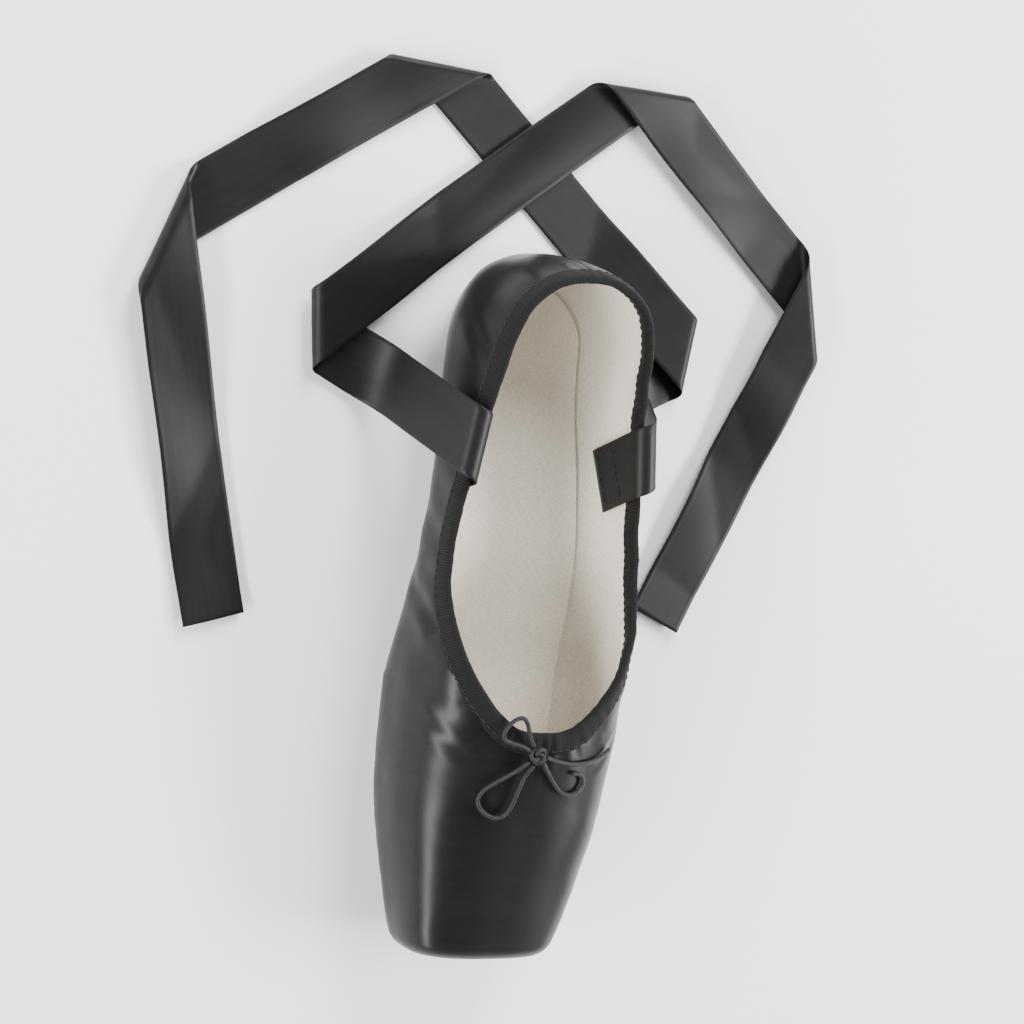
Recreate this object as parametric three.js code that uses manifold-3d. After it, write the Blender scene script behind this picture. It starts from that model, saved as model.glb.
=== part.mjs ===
// A pointe shoe, empty and resting on its sole, in millimetres, +Z up and +X towards the toe.
// The origin is on the floor, midway between the heel's back and the toe platform.
// The upper is one hollow shell around a last given by sections; a leather outsole closes it
// underneath, an insole lies in it, a bound edge runs round its collar with the drawstring's
// bow at the throat, and two sewn ribbons fall over the collar and lie on the floor.
import * as THREE from "three";
import { mergeVertices } from "three/addons/utils/BufferGeometryUtils.js";
import Module from "manifold-3d";

const wasm = await Module();
wasm.setup();

// ---- driving dimensions -------------------------------------------------------------------
const LENGTH = 238; // heel's back to toe platform
const BALL_WIDTH = 80;
const INSTEP_HEIGHT = 58; // top of the vamp at the throat
const WALL = 2; // satin, glued layers and lining together
const GAP = 0.3; // clearance between separate pieces
const SOLE_GAP = 0.6; // and between the upper and the outsole
const PLATFORM_ROUND = 5; // rounding between the box and its flat tip
const HEEL_ROUND_PLAN = 34; // how far from the back the heel starts to close, seen from above
const HEEL_ROUND_TOP = 22; // the same seen from the side, above the heel's fullest height
const HEEL_ROUND_LOW = 9; // and below it
const HEEL_POWER = 2.15; // roundness of the heel in plan

const SOLE_THICKNESS = 3;
const SOLE_TOE_SETBACK = 17; // the leather stops short of the tip
const SOLE_HEEL_SETBACK = 5;
const LASTING_MARGIN = 8; // how far the upper is turned in over the edge of the outsole
const INSOLE_THICKNESS = 1.4;

const BINDING_THICK = 3.4;
const BINDING_TALL = 6.2;

const CORD_RADIUS = 0.75;
const KNOT_RADIUS = 1.9;
const KNOT_ASIDE = -3; // the cord comes out a little to one side of the throat

const RIBBON_WIDTH = 22;
const RIBBON_THICK = 0.5;
const RIBBON_FROM_HEEL = 64; // middle of the sewn end, from the heel's back

const HEEL_X = -LENGTH / 2;
const TOE_X = LENGTH / 2;

// ---- tables -------------------------------------------------------------------------------
// The last. at: share of LENGTH from the heel; width and top: shares of BALL_WIDTH and
// INSTEP_HEIGHT; lift: underside above the ball's, in mm; widest: share of the height at which
// the section is widest; over and under: how square the section is above and below that.
const LAST = [
  { at: 0.0, width: 0.78, top: 1.24, lift: 0, widest: 0.27, over: 2.3, under: 3.0 },
  { at: 0.14, width: 0.79, top: 1.22, lift: 0, widest: 0.28, over: 2.3, under: 3.0 },
  { at: 0.22, width: 0.81, top: 1.2, lift: 0.6, widest: 0.3, over: 2.4, under: 2.7 },
  { at: 0.32, width: 0.86, top: 1.17, lift: 3.6, widest: 0.34, over: 2.6, under: 2.3 },
  { at: 0.42, width: 0.925, top: 1.13, lift: 4.6, widest: 0.38, over: 2.7, under: 2.3 },
  { at: 0.52, width: 0.975, top: 1.09, lift: 2.4, widest: 0.38, over: 2.7, under: 2.7 },
  { at: 0.62, width: 1.0, top: 1.03, lift: 0, widest: 0.38, over: 2.6, under: 3.4 },
  { at: 0.7, width: 0.998, top: 0.985, lift: 0, widest: 0.39, over: 2.6, under: 3.6 },
  { at: 0.76, width: 0.975, top: 0.945, lift: 0, widest: 0.4, over: 2.6, under: 3.6 },
  { at: 0.81, width: 0.94, top: 0.91, lift: 0.3, widest: 0.41, over: 2.7, under: 3.4 },
  { at: 0.86, width: 0.885, top: 0.87, lift: 1.2, widest: 0.42, over: 2.7, under: 3.2 },
  { at: 0.91, width: 0.82, top: 0.825, lift: 2.6, widest: 0.43, over: 2.8, under: 3.0 },
  { at: 0.96, width: 0.745, top: 0.78, lift: 4.0, widest: 0.45, over: 2.8, under: 3.0 },
  { at: 1.0, width: 0.67, top: 0.74, lift: 5.2, widest: 0.46, over: 2.8, under: 2.8 },
];

// The collar, where the upper's wall ends, seen from the side. at: mm from the heel's back.
const COLLAR = [
  { at: 0, height: 52 },
  { at: 25, height: 47 },
  { at: 45, height: 42.5 },
  { at: 65, height: 39.6 },
  { at: 90, height: 38 },
  { at: 108, height: 39.2 },
  { at: 120, height: 43 },
  { at: 131, height: 47.4 },
  { at: 139, height: 50.3 },
  { at: 146, height: 52.7 },
  { at: 152, height: 54.5 },
  { at: 157, height: 55.7 },
  { at: 161, height: 56.4 },
  { at: 164, height: 57 },
  { at: 167, height: 58.2 },
];

// The outsole's outline. at: share of its own length from its heel end; half: mm.
const SOLE = [
  { at: 0.0, half: 25 },
  { at: 0.14, half: 25 },
  { at: 0.3, half: 20.5 },
  { at: 0.44, half: 19 },
  { at: 0.6, half: 26 },
  { at: 0.73, half: 31 },
  { at: 0.86, half: 29.5 },
  { at: 1.0, half: 25 },
];
const SOLE_END_ROUND = [26, 24]; // heel end and toe end, along the shoe

// The bow: heading in degrees from the toe direction towards +Y, length and width in mm. An end's
// route is in mm from the knot, towards the toe and towards +Y.
const BOW_LOOPS = [
  { name: "drawstring_loop_long", heading: -33, length: 25, width: 11.5, rise: 0.5 },
  { name: "drawstring_loop_short", heading: -132, length: 15, width: 8.5, rise: 1.5 },
];
const BOW_ENDS = [
  {
    name: "drawstring_end_inner",
    route: [
      [2.5, 2.7],
      [6, 6],
      [10, 9.5],
      [13, 13],
      [14, 17],
      [12.5, 20.5],
      [9.5, 21.5],
      [7, 19.5],
      [6.5, 16.5],
    ],
  },
  {
    name: "drawstring_end_outer",
    route: [
      [0.6, 3.6],
      [2.2, 9],
      [3.2, 15],
      [3, 21],
      [1.6, 27],
      [-0.8, 32],
    ],
  },
];

// A ribbon is a flat strip bent along straight lines. It leaves its seam inside the quarter,
// goes over the collar, falls to the floor and lies there in folds. lean: degrees it leans
// towards the heel; raise: mm it lies above the floor. For each fold, after: mm along it from
// where it landed; slant: degrees of the fold line off straight across; turn: degrees, + towards
// the face that looked into the shoe; radius: how soft the fold is.
const RIBBONS = [
  {
    name: "ribbon_left",
    side: 1,
    lean: 20,
    raise: 0,
    length: 500,
    folds: [
      { after: 24, slant: 33, turn: 187, radius: 3 },
      { after: 82, slant: 33, turn: -7, radius: 30 },
      { after: 168, slant: -53, turn: -187, radius: 2 },
      { after: 224, slant: -53, turn: 7, radius: 30 },
      { after: 282, slant: 55, turn: 187, radius: 3 },
      { after: 368, slant: 55, turn: -7, radius: 30 },
    ],
  },
  {
    name: "ribbon_right",
    side: -1,
    lean: 17,
    raise: 1.3,
    length: 500,
    folds: [
      { after: 28, slant: 32, turn: 187, radius: 3 },
      { after: 85, slant: 32, turn: -7, radius: 30 },
      { after: 178, slant: -51, turn: -187, radius: 2 },
      { after: 231, slant: -51, turn: 7, radius: 30 },
      { after: 284, slant: 53, turn: 187, radius: 3 },
      { after: 366, slant: 53, turn: -7, radius: 30 },
    ],
  },
];
const OVER_COLLAR = { turn: -160, radius: 4 };
const LANDING = { turn: 70, radius: 16 };
const SEWN_DEPTH = 31; // from the sewn end to the middle of the bend over the collar

// ---- reading the tables -------------------------------------------------------------------
const radians = THREE.MathUtils.degToRad;

// A smooth curve through one column of a table that never overshoots its rows.
function read(table, key, at) {
  const rows = table.map((row) => [row.at, row[key]]);
  const last = rows.length - 1;
  if (at <= rows[0][0]) return rows[0][1];
  if (at >= rows[last][0]) return rows[last][1];
  const i = rows.findIndex(([start], k) => k < last && at < rows[k + 1][0] && at >= start);
  const slope = (k) => (rows[k + 1][1] - rows[k][1]) / (rows[k + 1][0] - rows[k][0]);
  const bend = (k) => {
    if (k === 0) return slope(0);
    if (k === last) return slope(last - 1);
    const before = slope(k - 1);
    const after = slope(k);
    return before * after <= 0 ? 0 : (2 * before * after) / (before + after);
  };
  const span = rows[i + 1][0] - rows[i][0];
  const t = (at - rows[i][0]) / span;
  const rest = 1 - t;
  return (
    rows[i][1] * (1 + 2 * t) * rest * rest +
    rows[i + 1][1] * (1 + 2 * rest) * t * t +
    span * (bend(i) * t * rest * rest - bend(i + 1) * rest * t * t)
  );
}

const rounded = (share, power) => {
  const inside = 1 - Math.min(1, Math.max(0, share));
  return (1 - inside ** power) ** (1 / power);
};

// ---- the last -----------------------------------------------------------------------------
// The section at x of the last, made smaller all round by inset.
function section(x, inset) {
  const at = (x - HEEL_X) / LENGTH;
  const base = SOLE_THICKNESS + SOLE_GAP + read(LAST, "lift", at);
  const crown = read(LAST, "top", at) * INSTEP_HEIGHT;
  const middle = base + (crown - base) * read(LAST, "widest", at);
  const fromHeel = Math.max(0, x - HEEL_X - inset);
  const toTip = Math.max(0, TOE_X - x - inset);
  const plan = rounded(fromHeel / (HEEL_ROUND_PLAN - inset), HEEL_POWER);
  const upper = rounded(fromHeel / (HEEL_ROUND_TOP - inset), 2);
  const lower = rounded(fromHeel / (HEEL_ROUND_LOW - inset), 2);
  const round = PLATFORM_ROUND - inset;
  const tip = round * (1 - rounded(toTip / round, 2));
  return {
    half: (read(LAST, "width", at) * (BALL_WIDTH / 2) - inset - tip) * plan,
    above: (crown - inset - tip - middle) * upper,
    below: (middle - base - inset - tip) * lower,
    middle,
    over: read(LAST, "over", at),
    under: read(LAST, "under", at),
  };
}

// The point at an angle round a section, 0 at +Y and 90 degrees at the top.
function around(x, angle, inset) {
  const s = section(x, inset);
  const c = Math.cos(angle);
  const n = Math.sin(angle);
  const power = 2 / (n >= 0 ? s.over : s.under);
  return new THREE.Vector3(
    x,
    Math.sign(c) * s.half * Math.abs(c) ** power,
    s.middle + (n >= 0 ? s.above : -s.below) * Math.abs(n) ** power,
  );
}

// The height of the last's underside or top at a place in plan.
function heightAt(x, y, inset, upward) {
  const s = section(x, inset);
  const power = upward ? s.over : s.under;
  const share = Math.max(0, 1 - (Math.abs(y) / s.half) ** power) ** (1 / power);
  return s.middle + (upward ? s.above : -s.below) * share;
}

const collarHeight = (x) => read(COLLAR, "height", x - HEEL_X);

// How far out the wall's middle is at the collar, or 0 where the collar has closed.
function collarHalf(x) {
  const s = section(x, WALL / 2);
  const share = (collarHeight(x) - s.middle) / s.above;
  return share >= 1 ? 0 : s.half * (1 - share ** s.over) ** (1 / s.over);
}

// The outward direction of the wall at a point near it.
function outward(point) {
  const level = (p) => {
    const s = section(p.x, WALL / 2);
    return (
      (Math.abs(p.y) / s.half) ** s.over + (Math.max(0, p.z - s.middle) / s.above) ** s.over
    );
  };
  const step = 0.05;
  const slope = (axis) => {
    const ahead = point.clone();
    const behind = point.clone();
    ahead[axis] += step;
    behind[axis] -= step;
    return level(ahead) - level(behind);
  };
  return new THREE.Vector3(slope("x"), slope("y"), slope("z")).normalize();
}

// ---- solids -------------------------------------------------------------------------------
// A closed skin over rings of an even number of points: its ends are capped by strips across
// them, or it is joined in a loop.
function loft(rings, loop = false) {
  const size = rings[0].length;
  const points = rings.flat();
  const faces = [];
  const spans = loop ? rings.length : rings.length - 1;
  for (let i = 0; i < spans; i++) {
    const here = i * size;
    const next = ((i + 1) % rings.length) * size;
    for (let j = 0; j < size; j++) {
      const k = (j + 1) % size;
      faces.push(here + j, here + k, next + k, here + j, next + k, next + j);
    }
  }
  if (!loop) {
    const far = (rings.length - 1) * size;
    for (let j = 0; j < size / 2 - 1; j++) {
      const [a, b, c, d] = [j, j + 1, size - 2 - j, size - 1 - j];
      faces.push(a, c, b, a, d, c);
      faces.push(far + a, far + b, far + c, far + a, far + c, far + d);
    }
  }
  return new THREE.BufferGeometry().setFromPoints(points).setIndex(faces);
}

// manifold-3d's form of a geometry, turned to face out.
function solid(geometry) {
  const bare = new THREE.BufferGeometry()
    .setAttribute("position", geometry.getAttribute("position"))
    .setIndex(geometry.index);
  const merged = mergeVertices(bare, 1e-4);
  const whole = [];
  for (let i = 0; i < merged.index.count; i += 3) {
    const face = [0, 1, 2].map((k) => merged.index.getX(i + k));
    if (new Set(face).size === 3) whole.push(...face);
  }
  const build = (triVerts) =>
    new wasm.Manifold(
      new wasm.Mesh({
        numProp: 3,
        vertProperties: merged.attributes.position.array,
        triVerts: new Uint32Array(triVerts),
      }),
    );
  const made = build(whole);
  return made.volume() > 0 ? made : build(whole.reverse());
}

// The largest body of a manifold-3d solid, as a geometry.
function geometryOf(shape) {
  const bodies = shape.decompose().sort((a, b) => b.volume() - a.volume());
  const mesh = bodies[0].getMesh();
  return new THREE.BufferGeometry()
    .setAttribute("position", new THREE.BufferAttribute(mesh.vertProperties, 3))
    .setIndex(new THREE.BufferAttribute(mesh.triVerts, 1));
}

// Stations along the shoe, closer together at both rounded ends.
function stations(from, to, count) {
  return Array.from({ length: count + 1 }, (_, i) => {
    const t = i / count;
    const eased = (1 - Math.cos(Math.PI * t)) / 2;
    return from + (to - from) * (0.45 * t + 0.55 * eased);
  });
}

// The whole last, smaller all round by inset, as a closed skin.
function lastBody(inset, lengthwise, aroundCount) {
  const end = 0.02;
  const rings = stations(HEEL_X + inset + end, TOE_X - inset, lengthwise).map((x) =>
    Array.from({ length: aroundCount }, (_, j) =>
      around(x, (2 * Math.PI * j) / aroundCount, inset),
    ),
  );
  return solid(loft(rings));
}

// ---- outsole and insole -------------------------------------------------------------------
const SOLE_FROM = HEEL_X + SOLE_HEEL_SETBACK;
const SOLE_TO = TOE_X - SOLE_TOE_SETBACK;

// Half the outsole's width at x, its ends rounded in plan.
function soleHalf(x, inset = 0) {
  const fromHeel = (x - SOLE_FROM - inset) / SOLE_END_ROUND[0];
  const toToe = (SOLE_TO - inset - x) / SOLE_END_ROUND[1];
  const half = read(SOLE, "half", (x - SOLE_FROM) / (SOLE_TO - SOLE_FROM)) - inset;
  return half * rounded(fromHeel, 2.2) * rounded(toToe, 2.4);
}

// A slab with its upper face at top(x, y) and its lower face at low(x, y).
function slab(from, to, half, top, low, lengthwise, across) {
  const rings = stations(from + 0.15, to - 0.15, lengthwise).map((x) => {
    const ys = Array.from({ length: across + 1 }, (_, j) => half(x) * (1 - (2 * j) / across));
    return [
      ...ys.map((y) => new THREE.Vector3(x, y, top(x, y))),
      ...ys.reverse().map((y) => new THREE.Vector3(x, y, low(x, y))),
    ];
  });
  return solid(loft(rings));
}

function outsole() {
  const EDGE_LIFT = 0.55; // how much of the upper's curve the tread side follows
  const top = (x, y) => heightAt(x, y, 0, false) - SOLE_GAP;
  const low = (x, y) => {
    const flat = top(x, 0) - SOLE_THICKNESS;
    const past = Math.max(0, Math.abs(y) - soleHalf(x) * 0.6);
    const share = past / (soleHalf(x) * 0.4);
    return flat + (top(x, y) - top(x, 0)) * EDGE_LIFT * share * share;
  };
  return slab(SOLE_FROM, SOLE_TO, soleHalf, top, low, 36, 8);
}

function soleOpening() {
  const outline = new THREE.Shape();
  const xs = stations(SOLE_FROM + LASTING_MARGIN, SOLE_TO - LASTING_MARGIN, 30);
  xs.forEach((x, i) => {
    const y = soleHalf(x, LASTING_MARGIN);
    if (i === 0) outline.moveTo(x, y);
    else outline.lineTo(x, y);
  });
  for (const x of xs.slice(1, -1).reverse()) outline.lineTo(x, -soleHalf(x, LASTING_MARGIN));
  const depth = 2 * SOLE_THICKNESS + WALL + 5;
  const cutter = new THREE.ExtrudeGeometry(outline, { depth, bevelEnabled: false });
  return solid(cutter.translate(0, 0, -1));
}

function insole() {
  const margin = 6; // where the inner wall's lower corner rounds up
  const seat = (x, y) => heightAt(x, y, WALL, false) + GAP;
  const half = (x) => {
    const s = section(x, WALL);
    return Math.max(0.5, s.half * 0.8 - 1);
  };
  const top = (x, y) => seat(x, y) + INSOLE_THICKNESS;
  const from = HEEL_X + WALL + margin;
  return slab(from, TOE_X - WALL - 2 * margin, half, top, seat, 26, 6);
}

// ---- the bound edge of the collar ---------------------------------------------------------
// Points round the middle of the wall's edge, evenly spaced, from the throat along +Y.
function collarLine(count) {
  const back = HEEL_X + WALL / 2;
  let front = HEEL_X + COLLAR.at(-1).at;
  let heel = back;
  while (collarHalf(front) === 0) front -= 0.02;
  while (collarHalf(heel) === 0) heel += 0.02;
  const steps = 60;
  const side = Array.from({ length: steps + 1 }, (_, i) => {
    const x = front + ((heel - front) * (1 - Math.cos((Math.PI * i) / steps))) / 2;
    const open = i === 0 || i === steps ? 0 : collarHalf(x);
    return new THREE.Vector3(x, open, collarHeight(x));
  });
  const other = side.slice(1, -1).map((p) => new THREE.Vector3(p.x, -p.y, p.z));
  const line = new THREE.CatmullRomCurve3([...side, ...other.reverse()], true);
  return line.getSpacedPoints(count).slice(0, count);
}

// The same points, each with the directions out of the wall and on past its edge.
function collarFrames(count) {
  const line = collarLine(count);
  return line.map((point, i) => {
    const along = line[(i + 1) % count].clone().sub(line[(i + count - 1) % count]).normalize();
    const out = outward(point);
    out.addScaledVector(along, -out.dot(along)).normalize();
    const up = out.clone().cross(along).normalize();
    if (up.z < 0) up.negate();
    return { point, out, up };
  });
}

// Everything inside the collar line, with sides that cut the wall squarely.
function collarCutter(count) {
  const frames = collarFrames(count);
  const beyond = (far) => frames.map(({ point, out }) => point.clone().addScaledVector(out, far));
  const rim = beyond(3 * WALL);
  const lid = rim.map((point) => new THREE.Vector3(point.x, point.y, 2 * INSTEP_HEIGHT));
  return solid(loft([beyond(-2 * WALL), rim, lid]));
}

// The bound edge: a rounded strip that carries the wall on past its edge.
function binding(count, extra = 0) {
  const sides = 8;
  const square = (v) => Math.sign(v) * Math.abs(v) ** 0.7;
  const rings = collarFrames(count).map(({ point, out, up }) => {
    const centre = point.clone().addScaledVector(up, BINDING_TALL / 2 + GAP);
    return Array.from({ length: sides }, (_, j) => {
      const angle = (2 * Math.PI * (j + 0.5)) / sides;
      return centre
        .clone()
        .addScaledVector(out, square(Math.cos(angle)) * (BINDING_THICK / 2 + extra))
        .addScaledVector(up, square(Math.sin(angle)) * (BINDING_TALL / 2 + extra));
    });
  });
  return solid(loft(rings, true));
}

// ---- the drawstring's bow -----------------------------------------------------------------
const KNOT = (() => {
  const x = HEEL_X + 163;
  const clear = BINDING_THICK / 2 + KNOT_RADIUS;
  return new THREE.Vector3(x, KNOT_ASIDE, heightAt(x, KNOT_ASIDE, 0, true) + clear);
})();

// A point over the vamp, so far from the knot towards the toe and towards +Y, clear of the wall.
function overVamp(forward, sideways, rise) {
  const x = KNOT.x + forward;
  const y = KNOT.y + sideways;
  const floor = heightAt(Math.max(x, KNOT.x - 4), y, 0, true) + CORD_RADIUS + 2 * GAP;
  const near = Math.exp(-Math.max(0, Math.hypot(forward, sideways) - 3) / 3);
  return new THREE.Vector3(x, y, floor + rise + (KNOT.z - floor - rise) * near);
}

function cord(points, steps) {
  const sides = 8;
  const outline = new THREE.Shape(
    Array.from({ length: sides }, (_, i) => {
      const angle = (2 * Math.PI * i) / sides;
      return new THREE.Vector2(CORD_RADIUS * Math.cos(angle), CORD_RADIUS * Math.sin(angle));
    }),
  );
  const path = new THREE.CatmullRomCurve3(points);
  return solid(
    new THREE.ExtrudeGeometry(outline, { steps, bevelEnabled: false, extrudePath: path }),
  );
}

const KNOT_REACH = 3.6; // cords start this far from the knot's middle, just clear of it

// A loop is a teardrop that leaves the knot and comes back beside where it left.
function bowLoop({ heading, length, width, rise }) {
  const steps = 16;
  const turned = radians(heading);
  const points = Array.from({ length: steps + 1 }, (_, i) => {
    const t = i / steps;
    const out = Math.sin(Math.PI * t);
    const reach = KNOT_REACH + (length - KNOT_REACH) * out ** 0.8;
    const spread = Math.sin(2 * Math.PI * t) * (width / 2) * out ** 0.3 + 1.1 * Math.cos(Math.PI * t);
    return overVamp(
      reach * Math.cos(turned) - spread * Math.sin(turned),
      reach * Math.sin(turned) + spread * Math.cos(turned),
      rise,
    );
  });
  return cord(points, 22);
}

function bowEnd({ route }) {
  return cord(
    route.map(([forward, sideways]) => overVamp(forward, sideways, 0.1)),
    14,
  );
}

function bowKnot() {
  const knot = new THREE.TorusKnotGeometry(KNOT_RADIUS * 0.85, CORD_RADIUS, 36, 6, 2, 3);
  knot.scale(1, 1.15, 0.8).rotateZ(0.3).translate(KNOT.x, KNOT.y, KNOT.z);
  return solid(knot);
}

// ---- ribbons ------------------------------------------------------------------------------
const spanOf = ({ turn, slant, radius }) =>
  (radius * Math.abs(radians(turn))) / Math.cos(radians(slant));

// Where the strip is bent, as the table's rows with their place along it.
function bendsOf({ lean, raise, folds }) {
  const crest = collarCrest();
  const over = { ...OVER_COLLAR, slant: lean, at: SEWN_DEPTH };
  const landing = { ...LANDING, slant: lean };
  const steep = radians(LANDING.turn);
  const rounding = (over.radius + landing.radius) * (1 - Math.cos(steep));
  const straight = (crest - RIBBON_THICK - raise - rounding) / Math.sin(steep);
  const middles = (spanOf(over) + spanOf(landing)) / 2;
  landing.at = SEWN_DEPTH + middles + straight / Math.cos(radians(lean));
  return [over, landing, ...folds.map((fold) => ({ ...fold, at: landing.at + fold.after }))];
}

// How high a ribbon passes over the bound edge.
function collarCrest() {
  return collarHeight(HEEL_X + RIBBON_FROM_HEEL) + BINDING_TALL + 5 * GAP + OVER_COLLAR.radius / 2;
}

// Where each ruling of the strip crosses its middle, its slant, and the turn taken there.
function rulings(row) {
  const rows = [{ at: 0, slant: 0, turn: 0 }];
  for (const bend of bendsOf(row)) {
    const span = spanOf(bend);
    const steps = Math.max(3, Math.ceil(Math.abs(bend.turn) / 18));
    for (let i = 0; i <= steps; i++) {
      const share = i === 0 || i === steps ? 0.5 : 1;
      rows.push({
        at: bend.at + span * (i / steps - 0.5),
        slant: radians(bend.slant),
        turn: (radians(bend.turn) * share) / steps,
      });
    }
  }
  rows.push({ at: row.length, slant: 0, turn: 0 });
  return rows;
}

// The strip bent into space: one four-sided section for each ruling.
function ribbon(row) {
  const { side, lean } = row;
  const tilt = radians(lean);
  const x = HEEL_X + RIBBON_FROM_HEEL;
  const clear = BINDING_THICK / 2 + 1.2;
  const rise = SEWN_DEPTH - spanOf({ ...OVER_COLLAR, slant: lean }) / 2;
  const splay = Math.atan((collarHalf(x + 5) - collarHalf(x - 5)) / 10);
  const turned = (vector) => vector.applyAxisAngle(new THREE.Vector3(0, 0, 1), side * splay);
  const along = turned(new THREE.Vector3(-Math.sin(tilt), 0, Math.cos(tilt)));
  const face = turned(new THREE.Vector3(0, -side, 0));
  const place = new THREE.Vector3(x, side * collarHalf(x), collarCrest() - OVER_COLLAR.radius)
    .addScaledVector(face, clear)
    .addScaledVector(turned(new THREE.Vector3(1, 0, 0)), SEWN_DEPTH * Math.sin(tilt));
  place.z -= rise * Math.cos(tilt);
  const across = face.clone().cross(along);
  let before = 0;
  const rings = rulings(row).map(({ at, slant, turn }) => {
    place.addScaledVector(along, at - before);
    before = at;
    const mirrored = slant * side;
    const ruling = across
      .clone()
      .multiplyScalar(Math.cos(mirrored))
      .addScaledVector(along, Math.sin(mirrored));
    const half = RIBBON_WIDTH / 2 / Math.cos(mirrored);
    face.applyAxisAngle(ruling, -turn / 2);
    const ring = [
      [1, 1],
      [-1, 1],
      [-1, -1],
      [1, -1],
    ].map(([edge, skin]) =>
      place
        .clone()
        .addScaledVector(ruling, edge * half)
        .addScaledVector(face, (skin * RIBBON_THICK) / 2),
    );
    face.applyAxisAngle(ruling, -turn / 2);
    along.applyAxisAngle(ruling, -turn);
    across.applyAxisAngle(ruling, -turn);
    return ring;
  });
  return solid(loft(rings));
}

// ---- the assembly -------------------------------------------------------------------------
const SATIN = { color: 0x151415, roughness: 0.38, metalness: 0 };
const COTTON = { color: 0x0f0f10, roughness: 0.85, metalness: 0 };
const LEATHER = { color: 0xb39a7c, roughness: 0.8, metalness: 0 };
const INSOLE = { color: 0xd9cdbb, roughness: 0.9, metalness: 0 };

const shoe = new THREE.Group();

function add(name, shape, material) {
  const mesh = new THREE.Mesh(geometryOf(shape), new THREE.MeshStandardMaterial(material));
  mesh.name = name;
  shoe.add(mesh);
}

const COLLAR_STEPS = 76;
const upper = lastBody(0, 38, 36)
  .subtract(lastBody(WALL, 40, 34))
  .subtract(collarCutter(COLLAR_STEPS))
  .subtract(soleOpening())
  .subtract(binding(COLLAR_STEPS, GAP));

add("upper", upper, SATIN);
add("outsole", outsole(), LEATHER);
add("insole", insole(), INSOLE);
add("binding", binding(COLLAR_STEPS), COTTON);
add("drawstring_knot", bowKnot(), COTTON);
for (const loop of BOW_LOOPS) add(loop.name, bowLoop(loop), COTTON);
for (const end of BOW_ENDS) add(end.name, bowEnd(end), COTTON);
for (const row of RIBBONS) add(row.name, ribbon(row), SATIN);

export default shoe;
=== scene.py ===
# %% [markdown]
# # A black satin pointe shoe
# This lesson dresses a plain solid model of a pointe shoe. The solids fix every size and place.
# Blender adds what a dancer would notice: the satin and its creases, the bound edge, the
# drawstring's bow, the lining, the suede sole with its pleats, and the ribbons.

# %% Open the solid model
import math

import bpy
import numpy as np
from mathutils import Matrix, Vector, noise


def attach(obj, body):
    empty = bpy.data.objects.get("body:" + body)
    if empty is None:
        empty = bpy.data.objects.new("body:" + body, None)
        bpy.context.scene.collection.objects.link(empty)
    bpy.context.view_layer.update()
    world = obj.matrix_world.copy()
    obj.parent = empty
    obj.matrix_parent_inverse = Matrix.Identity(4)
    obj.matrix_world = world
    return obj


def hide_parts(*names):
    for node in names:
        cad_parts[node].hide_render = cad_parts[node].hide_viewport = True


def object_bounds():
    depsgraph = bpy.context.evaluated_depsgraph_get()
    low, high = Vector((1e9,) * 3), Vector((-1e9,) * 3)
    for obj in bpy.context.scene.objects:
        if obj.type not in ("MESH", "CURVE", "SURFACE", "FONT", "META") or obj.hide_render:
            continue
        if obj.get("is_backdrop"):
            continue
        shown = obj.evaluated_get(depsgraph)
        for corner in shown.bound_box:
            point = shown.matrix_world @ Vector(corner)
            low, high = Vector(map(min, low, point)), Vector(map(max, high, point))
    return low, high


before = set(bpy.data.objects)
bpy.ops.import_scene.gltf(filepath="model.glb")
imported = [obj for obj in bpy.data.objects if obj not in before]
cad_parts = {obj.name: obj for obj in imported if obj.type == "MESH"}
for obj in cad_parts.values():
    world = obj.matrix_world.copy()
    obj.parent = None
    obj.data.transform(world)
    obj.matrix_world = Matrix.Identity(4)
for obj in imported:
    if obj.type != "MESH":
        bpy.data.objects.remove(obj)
solid_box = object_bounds()
print("solids:", sorted(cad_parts))

# %% [markdown]
# ## Sizes
# Everything is worked out from the shoe's own sizes. Blender counts in metres, so a millimetre
# gets a name of its own, and lengths then read as a shoemaker would say them. The last, which is
# the form that a shoe is made round, is a short table: one row for each section along the foot.

# %% Sizes of the shoe
MM = 0.001
LENGTH = 238 * MM
BALL_WIDTH = 80 * MM
INSTEP_HEIGHT = 58 * MM
WALL = 2 * MM
GAP = 0.3 * MM
SOLE_GAP = 0.6 * MM
PLATFORM_ROUND = 5 * MM
HEEL_ROUND_PLAN = 34 * MM
HEEL_ROUND_TOP = 22 * MM
HEEL_ROUND_LOW = 9 * MM
HEEL_POWER = 2.15
SOLE_THICKNESS = 3 * MM
HEEL_X = -LENGTH / 2
TOE_X = LENGTH / 2

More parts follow.
